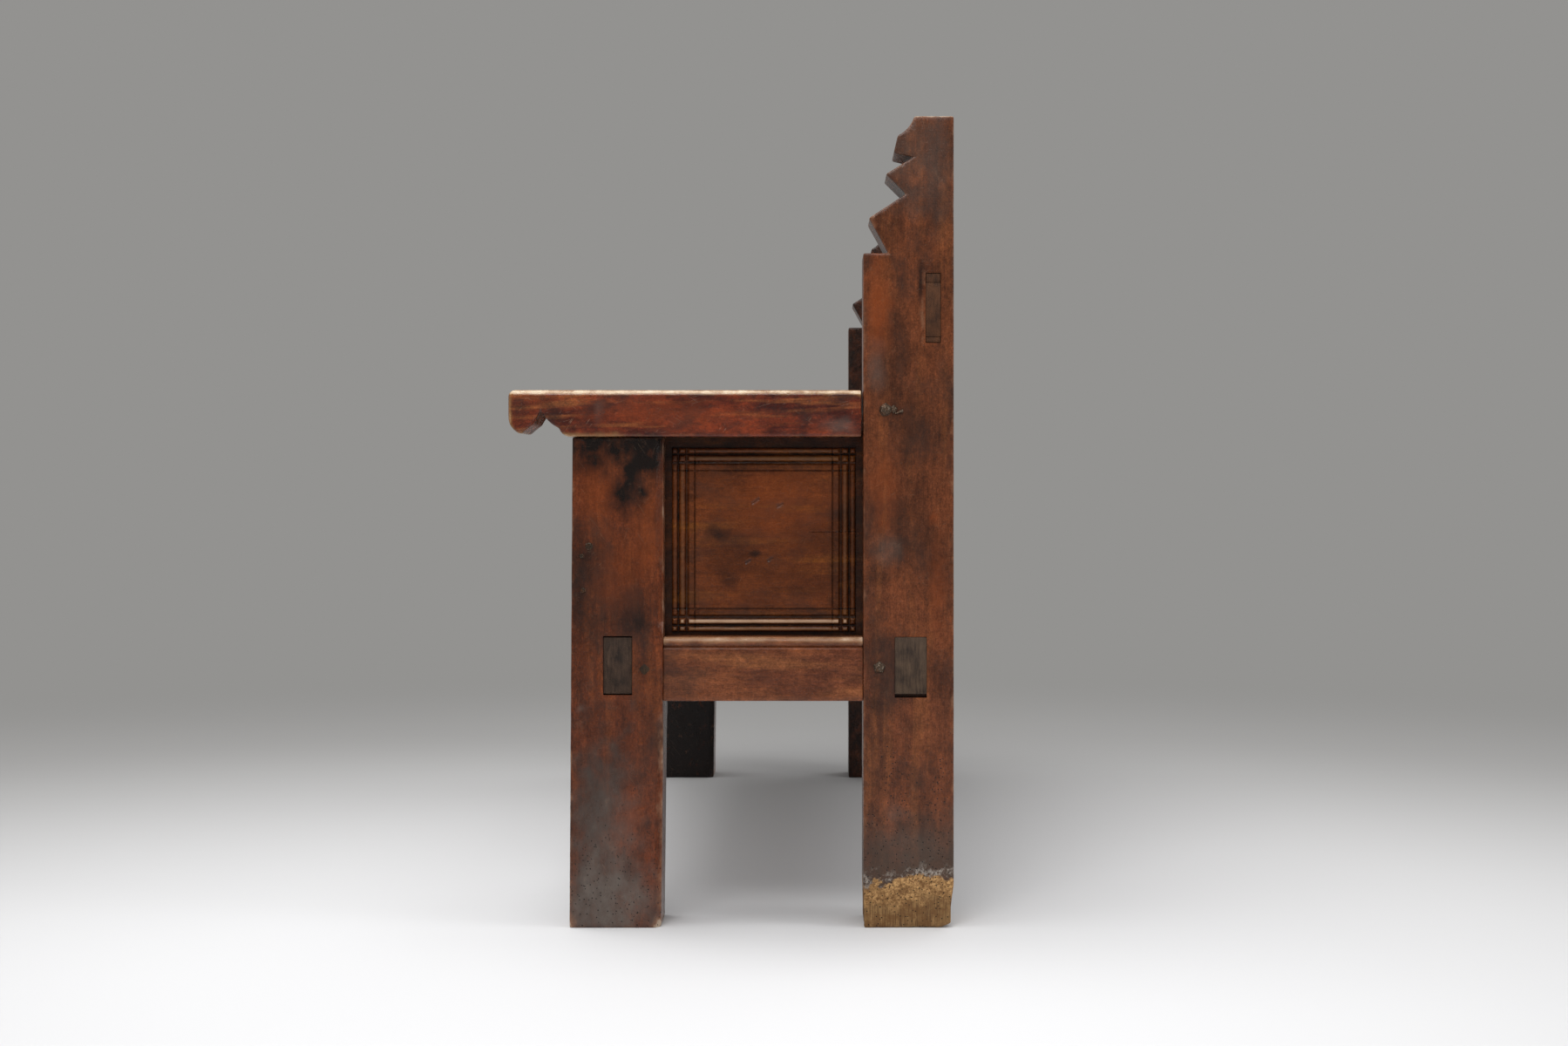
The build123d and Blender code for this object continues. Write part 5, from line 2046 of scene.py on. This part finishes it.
@dataclass
class Fasteners:
    """Forged nails, pegs and wedges that show on the faces. Sizes in millimetres."""

    finishes: Finishes
    outer: float = 775.0
    back: float = 298.25
    post_middle: float = 730.0
    arm_nail: Point = (206.4, 695.3)
    rail_nail: Point = (198.25, 349.5)
    back_nail_heights: Point = (352.0, 829.8)
    old_nails: tuple[tuple[float, float, float], ...] = (  # Y, Z and width
        (-191.75, 512.0, 12.0),
        (-201.25, 499.0, 7.5),
        (-199.75, 453.0, 9.0),
    )
    peg: Point = (-117.25, 347.0)
    wedge_middle: float = 270.45
    wedge_heights: tuple[Point, ...] = ((866.3, 878.7), (786.0, 793.3))

    def build(self) -> list[Piece]:
        """Build the fasteners.

        Returns:
            The finished pieces.
        """
        rail_nails, back_nails, old_nails = [], [], []
        for side in SIDES:
            spot = Vector((side * self.outer, *self.rail_nail))
            head = NailHead(spot, Vector((side, 0, 0)), width=18.5, rise=4.0, sides=5, seed=side * 3.0)
            rail_nails.append(head)
            for height in self.back_nail_heights:
                spot = Vector((side * self.post_middle, self.back, height))
                head = NailHead(spot, Vector((0, 1, 0)), width=14.0, rise=2.3, sides=7, seed=side * height)
                back_nails.append(head)
        for number, (y, z, width) in enumerate(self.old_nails):
            spot = Vector((self.outer, y, z))
            head = NailHead(spot, Vector((1, 0, 0)), width=width, rise=1.7, sides=7, seed=number * 2.0)
            old_nails.append(head)
        return [
            self._arm_nails(),
            self._nails("side_rail_nails", rail_nails, self.finishes.iron),
            self._nails("post_back_nails", back_nails, self.finishes.iron),
            self._nails("old_leg_nails", old_nails, self.finishes.old_iron),
            self._pegs(),
            self._wedges(),
        ]

    def _nails(self, node: str, heads: list[NailHead], material: Material) -> Piece:
        """Build the heads of one kind of nail.

        Args:
            node: CAD node of the nails.
            heads: their heads.
            material: their iron.

        Returns:
            The finished piece.
        """
        bm = bmesh.new()
        for head in heads:
            head.add_to(bm)
        return put_in_scene(f"{node}_forged", bm, node, "forged_iron", [material])

    def _arm_nails(self) -> Piece:
        """Build the nails that pin the arms; their tips are bent over beside the head.

        Returns:
            The finished piece.
        """
        bm = bmesh.new()
        for side in SIDES:
            out = Vector((side, 0, 0))
            spot = Vector((side * self.outer, *self.arm_nail))
            beside = spot + Vector((0, 11.0, 0.6))
            NailHead(spot, out, width=18.5, rise=4.2, sides=7, seed=side).add_to(bm)
            NailHead(beside, out, width=11.5, rise=3.2, sides=6, seed=side + 2.0).add_to(bm)
            tip = {"cap_ends": True, "segments": 8, "radius1": 1.9, "radius2": 0.8, "depth": 11.0}
            made = bmesh.ops.create_cone(bm, **tip)["verts"]
            turn = Euler((math.radians(-62 - 6 * side), 0, 0)).to_matrix().to_4x4()
            place = Matrix.Translation(spot + Vector((side * 1.2, 18.5, -3.0)))
            bmesh.ops.transform(bm, matrix=place @ turn @ Matrix.Rotation(math.pi, 4, "X"), verts=made)
        return put_in_scene("arm_nails_forged", bm, "arm_nails", "forged_iron", [self.finishes.iron])

    def _pegs(self) -> Piece:
        """Build the square pegs, set on their corners, in the front legs.

        Returns:
            The finished piece.
        """
        bm = bmesh.new()
        for side in SIDES:
            place = Matrix.Translation((side * (self.outer - 4.0), *self.peg))
            turn = Matrix.Rotation(math.radians(45), 4, "X")
            eased_block(bm, (9.0, 12.5, 12.5), place @ turn, offset=2.2)
        return put_in_scene("side_rail_pegs_cut", bm, "side_rail_pegs", "wood_pegs", [self.finishes.peg])

    def _wedges(self) -> Piece:
        """Build the wedges above and below the top rail's tenons.

        Returns:
            The finished piece.
        """
        bm = bmesh.new()
        for side in SIDES:
            for low, high in self.wedge_heights:
                middle = (side * (self.outer - 6.2), self.wedge_middle, (low + high) / 2)
                eased_block(bm, (11.0, 19.4, high - low), Matrix.Translation(middle), offset=0.8)
        wood = [self.finishes.top_tenon]
        return put_in_scene("top_rail_wedges_cut", bm, "top_rail_wedges", "wood_pegs", wood)


# Studio


@dataclass
class Studio:
    """Pale floor, grey surround, soft lamps and the camera of the end view. Metres."""

    photo_width: float = 1799.0  # pixels
    photo_height: float = 1200.0
    vanishing: Point = (940.0, 547.0)  # pixel that the camera looks straight at
    lens_mm: float = 50.0
    sensor_mm: float = 36.0
    eye: tuple[float, float, float] = (3.698, 0.1175, 0.6055)
    light_pool: tuple[float, float, float] = (1.2, 0.0, 0.0)  # middle of the painted pool of light on the floor
    floor_radius: float = 40.0
    floor_colour: str = "#cfcfd0"
    # floor colour away from the pool: the painted falloff of the light
    floor_outside_pool: str = "#959493"
    surround: str = "#939290"
    sky_high: float = 1.0  # brightness overhead, unseen
    sky_low: float = 0.03  # brightness at the horizon, unseen
    lamps_aim: tuple[float, float, float] = (0.2, 0.0, 0.5)

    def build(self) -> None:
        """Set up floor, world, lamps and camera."""
        self._floor()
        self._world()
        self._lamps()
        self._camera()
        bpy.context.scene.view_settings.view_transform = "Standard"

    def _floor(self) -> None:
        """A wide pale floor with a painted pool of light round the settle, darker away from it, that fades
        into the surround.
        """
        bm = bmesh.new()
        bmesh.ops.create_circle(bm, cap_ends=True, segments=96, radius=self.floor_radius)
        mesh = bpy.data.meshes.new("studio_floor")
        bm.to_mesh(mesh)
        bm.free()
        floor = bpy.data.objects.new("studio_floor", mesh)
        bpy.context.scene.collection.objects.link(floor)
        material, tree = new_material("Painted studio floor")
        place = add(tree, "TexCoord", out="Object")
        away = add(tree, "VectorMath", {0: place, 1: self.light_pool}, out="Value", operation="DISTANCE")
        # painted pool of light: the floor darkens with distance from the pool
        pool_falloff = add(tree, "MapRange", {"Value": away, 1: 0.3, 2: 2.8}, **SOFT)
        fade = add(tree, "MapRange", {"Value": away, 1: 2.2, 2: 4.2}, **SOFT)
        tone = add(tree, "Mix", {0: pool_falloff, 6: linear(self.floor_colour), 7: linear(self.floor_outside_pool)}, **MIX)
        near = add(tree, "BsdfPrincipled", {"Base Color": tone, "Roughness": 0.7, "Specular IOR Level": 0.2})
        far = add(tree, "Emission", {"Color": linear(self.surround), "Strength": 1.0})
        mixed = add(tree, "MixShader", {0: fade, 1: near, 2: far})
        add(tree, "OutputMaterial", {"Surface": mixed})
        mesh.materials.append(material)

    def _world(self) -> None:
        """An even grey surround, and an unseen sky that lights from above."""
        world = bpy.data.worlds.new("studio_surround")
        world.use_nodes = True
        tree = world.node_tree
        tree.nodes.clear()
        aim = add(tree, "TexCoord", out="Generated")
        up = add(tree, "SeparateXYZ", {0: aim}, out="Z")
        glow = add(tree, "MapRange", {"Value": up, 1: 0.0, 2: 0.9, 3: self.sky_low, 4: self.sky_high})
        light = add(tree, "Background", {"Color": (1, 1, 1, 1), "Strength": glow})
        seen = add(tree, "Background", {"Color": linear(self.surround), "Strength": 1.0})
        direct = add(tree, "LightPath", out="Is Camera Ray")
        for ray in ("Is Glossy Ray", "Is Transmission Ray"):
            other = add(tree, "LightPath", out=ray)
            direct = add(tree, "Math", {0: direct, 1: other}, operation="MAXIMUM")
        mixed = add(tree, "MixShader", {0: direct, 1: light, 2: seen})
        add(tree, "OutputWorld", {"Surface": mixed})
        bpy.context.scene.world = world

    def _lamps(self) -> None:
        """Large soft lamps high up on every side, and a weak one that draws light along the arrises."""
        for name, place, size, power in (
            ("overhead", (0.6, -0.5, 3.3), 2.2, 60.0),
            ("near_end", (3.0, -0.5, 3.1), 1.5, 48.0),
            ("front", (-0.4, -2.3, 3.4), 2.0, 20.0),
            ("behind", (-2.0, 2.1, 3.3), 2.0, 16.0),
            ("window", (1.5, 3.0, 1.8), 1.3, 26.0),
        ):
            lamp = bpy.data.lights.new(name, "AREA")
            lamp.shape = "DISK"
            lamp.size = size
            lamp.energy = power
            holder = bpy.data.objects.new(name, lamp)
            holder.location = place
            aim = Vector(self.lamps_aim) - Vector(place)
            holder.rotation_euler = aim.to_track_quat("-Z", "Y").to_euler()
            bpy.context.scene.collection.objects.link(holder)

    def _camera(self) -> None:
        """A level camera that looks straight at the near end, shifted to frame it as in the photograph."""
        camera = bpy.data.cameras.new("end_view")
        camera.lens = self.lens_mm
        camera.sensor_width = self.sensor_mm
        camera.shift_x = (self.photo_width / 2 - self.vanishing[0]) / self.photo_width
        camera.shift_y = (self.vanishing[1] - self.photo_height / 2) / self.photo_width
        holder = bpy.data.objects.new("end_view", camera)
        holder.location = self.eye
        holder.rotation_euler = (math.pi / 2, 0.0, math.pi / 2)
        bpy.context.scene.collection.objects.link(holder)
        bpy.context.scene.camera = holder


def dress_cad_nodes(nodes: dict[str, Piece], finishes: Finishes) -> list[Piece]:
    """Give the CAD nodes that stay in sight their finishes.

    Args:
        nodes: CAD nodes by name.
        finishes: materials of the settle.

    Returns:
        The dressed nodes.
    """
    kept = {
        "seat_bearer_left": finishes.rough,
        "seat_bearer_middle": finishes.rough,
        "seat_bearer_right": finishes.rough,
        "left_seat_cleat": finishes.rough,
        "right_seat_cleat": finishes.rough,
        "seat_nails": finishes.iron,
        "cleat_nails": finishes.iron,
        "muntin_pegs": finishes.peg,
    }
    for name, material in kept.items():
        nodes[name].data.materials.clear()
        nodes[name].data.materials.append(material)
    return [nodes[name] for name in kept]


def main() -> None:
    """Load the frame, build every sub-assembly and report the pieces."""
    logging.basicConfig(level=logging.INFO, format="%(name)s: %(message)s")
    for item in list(bpy.data.objects):
        bpy.data.objects.remove(item)
    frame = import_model()
    finishes = Finishes()
    pieces = []
    for side in SIDES:
        pieces += EndFrame(side, finishes).build()
    for part in (LongRails(finishes), Seat(finishes), FramedBack(finishes), Fasteners(finishes)):
        pieces += part.build()
    pieces += dress_cad_nodes(frame["nodes"], finishes)
    Studio().build()
    for piece in pieces:
        LOG.info("%s: %d faces", piece.name, len(piece.data.polygons))


if __name__ == "__main__":
    main()
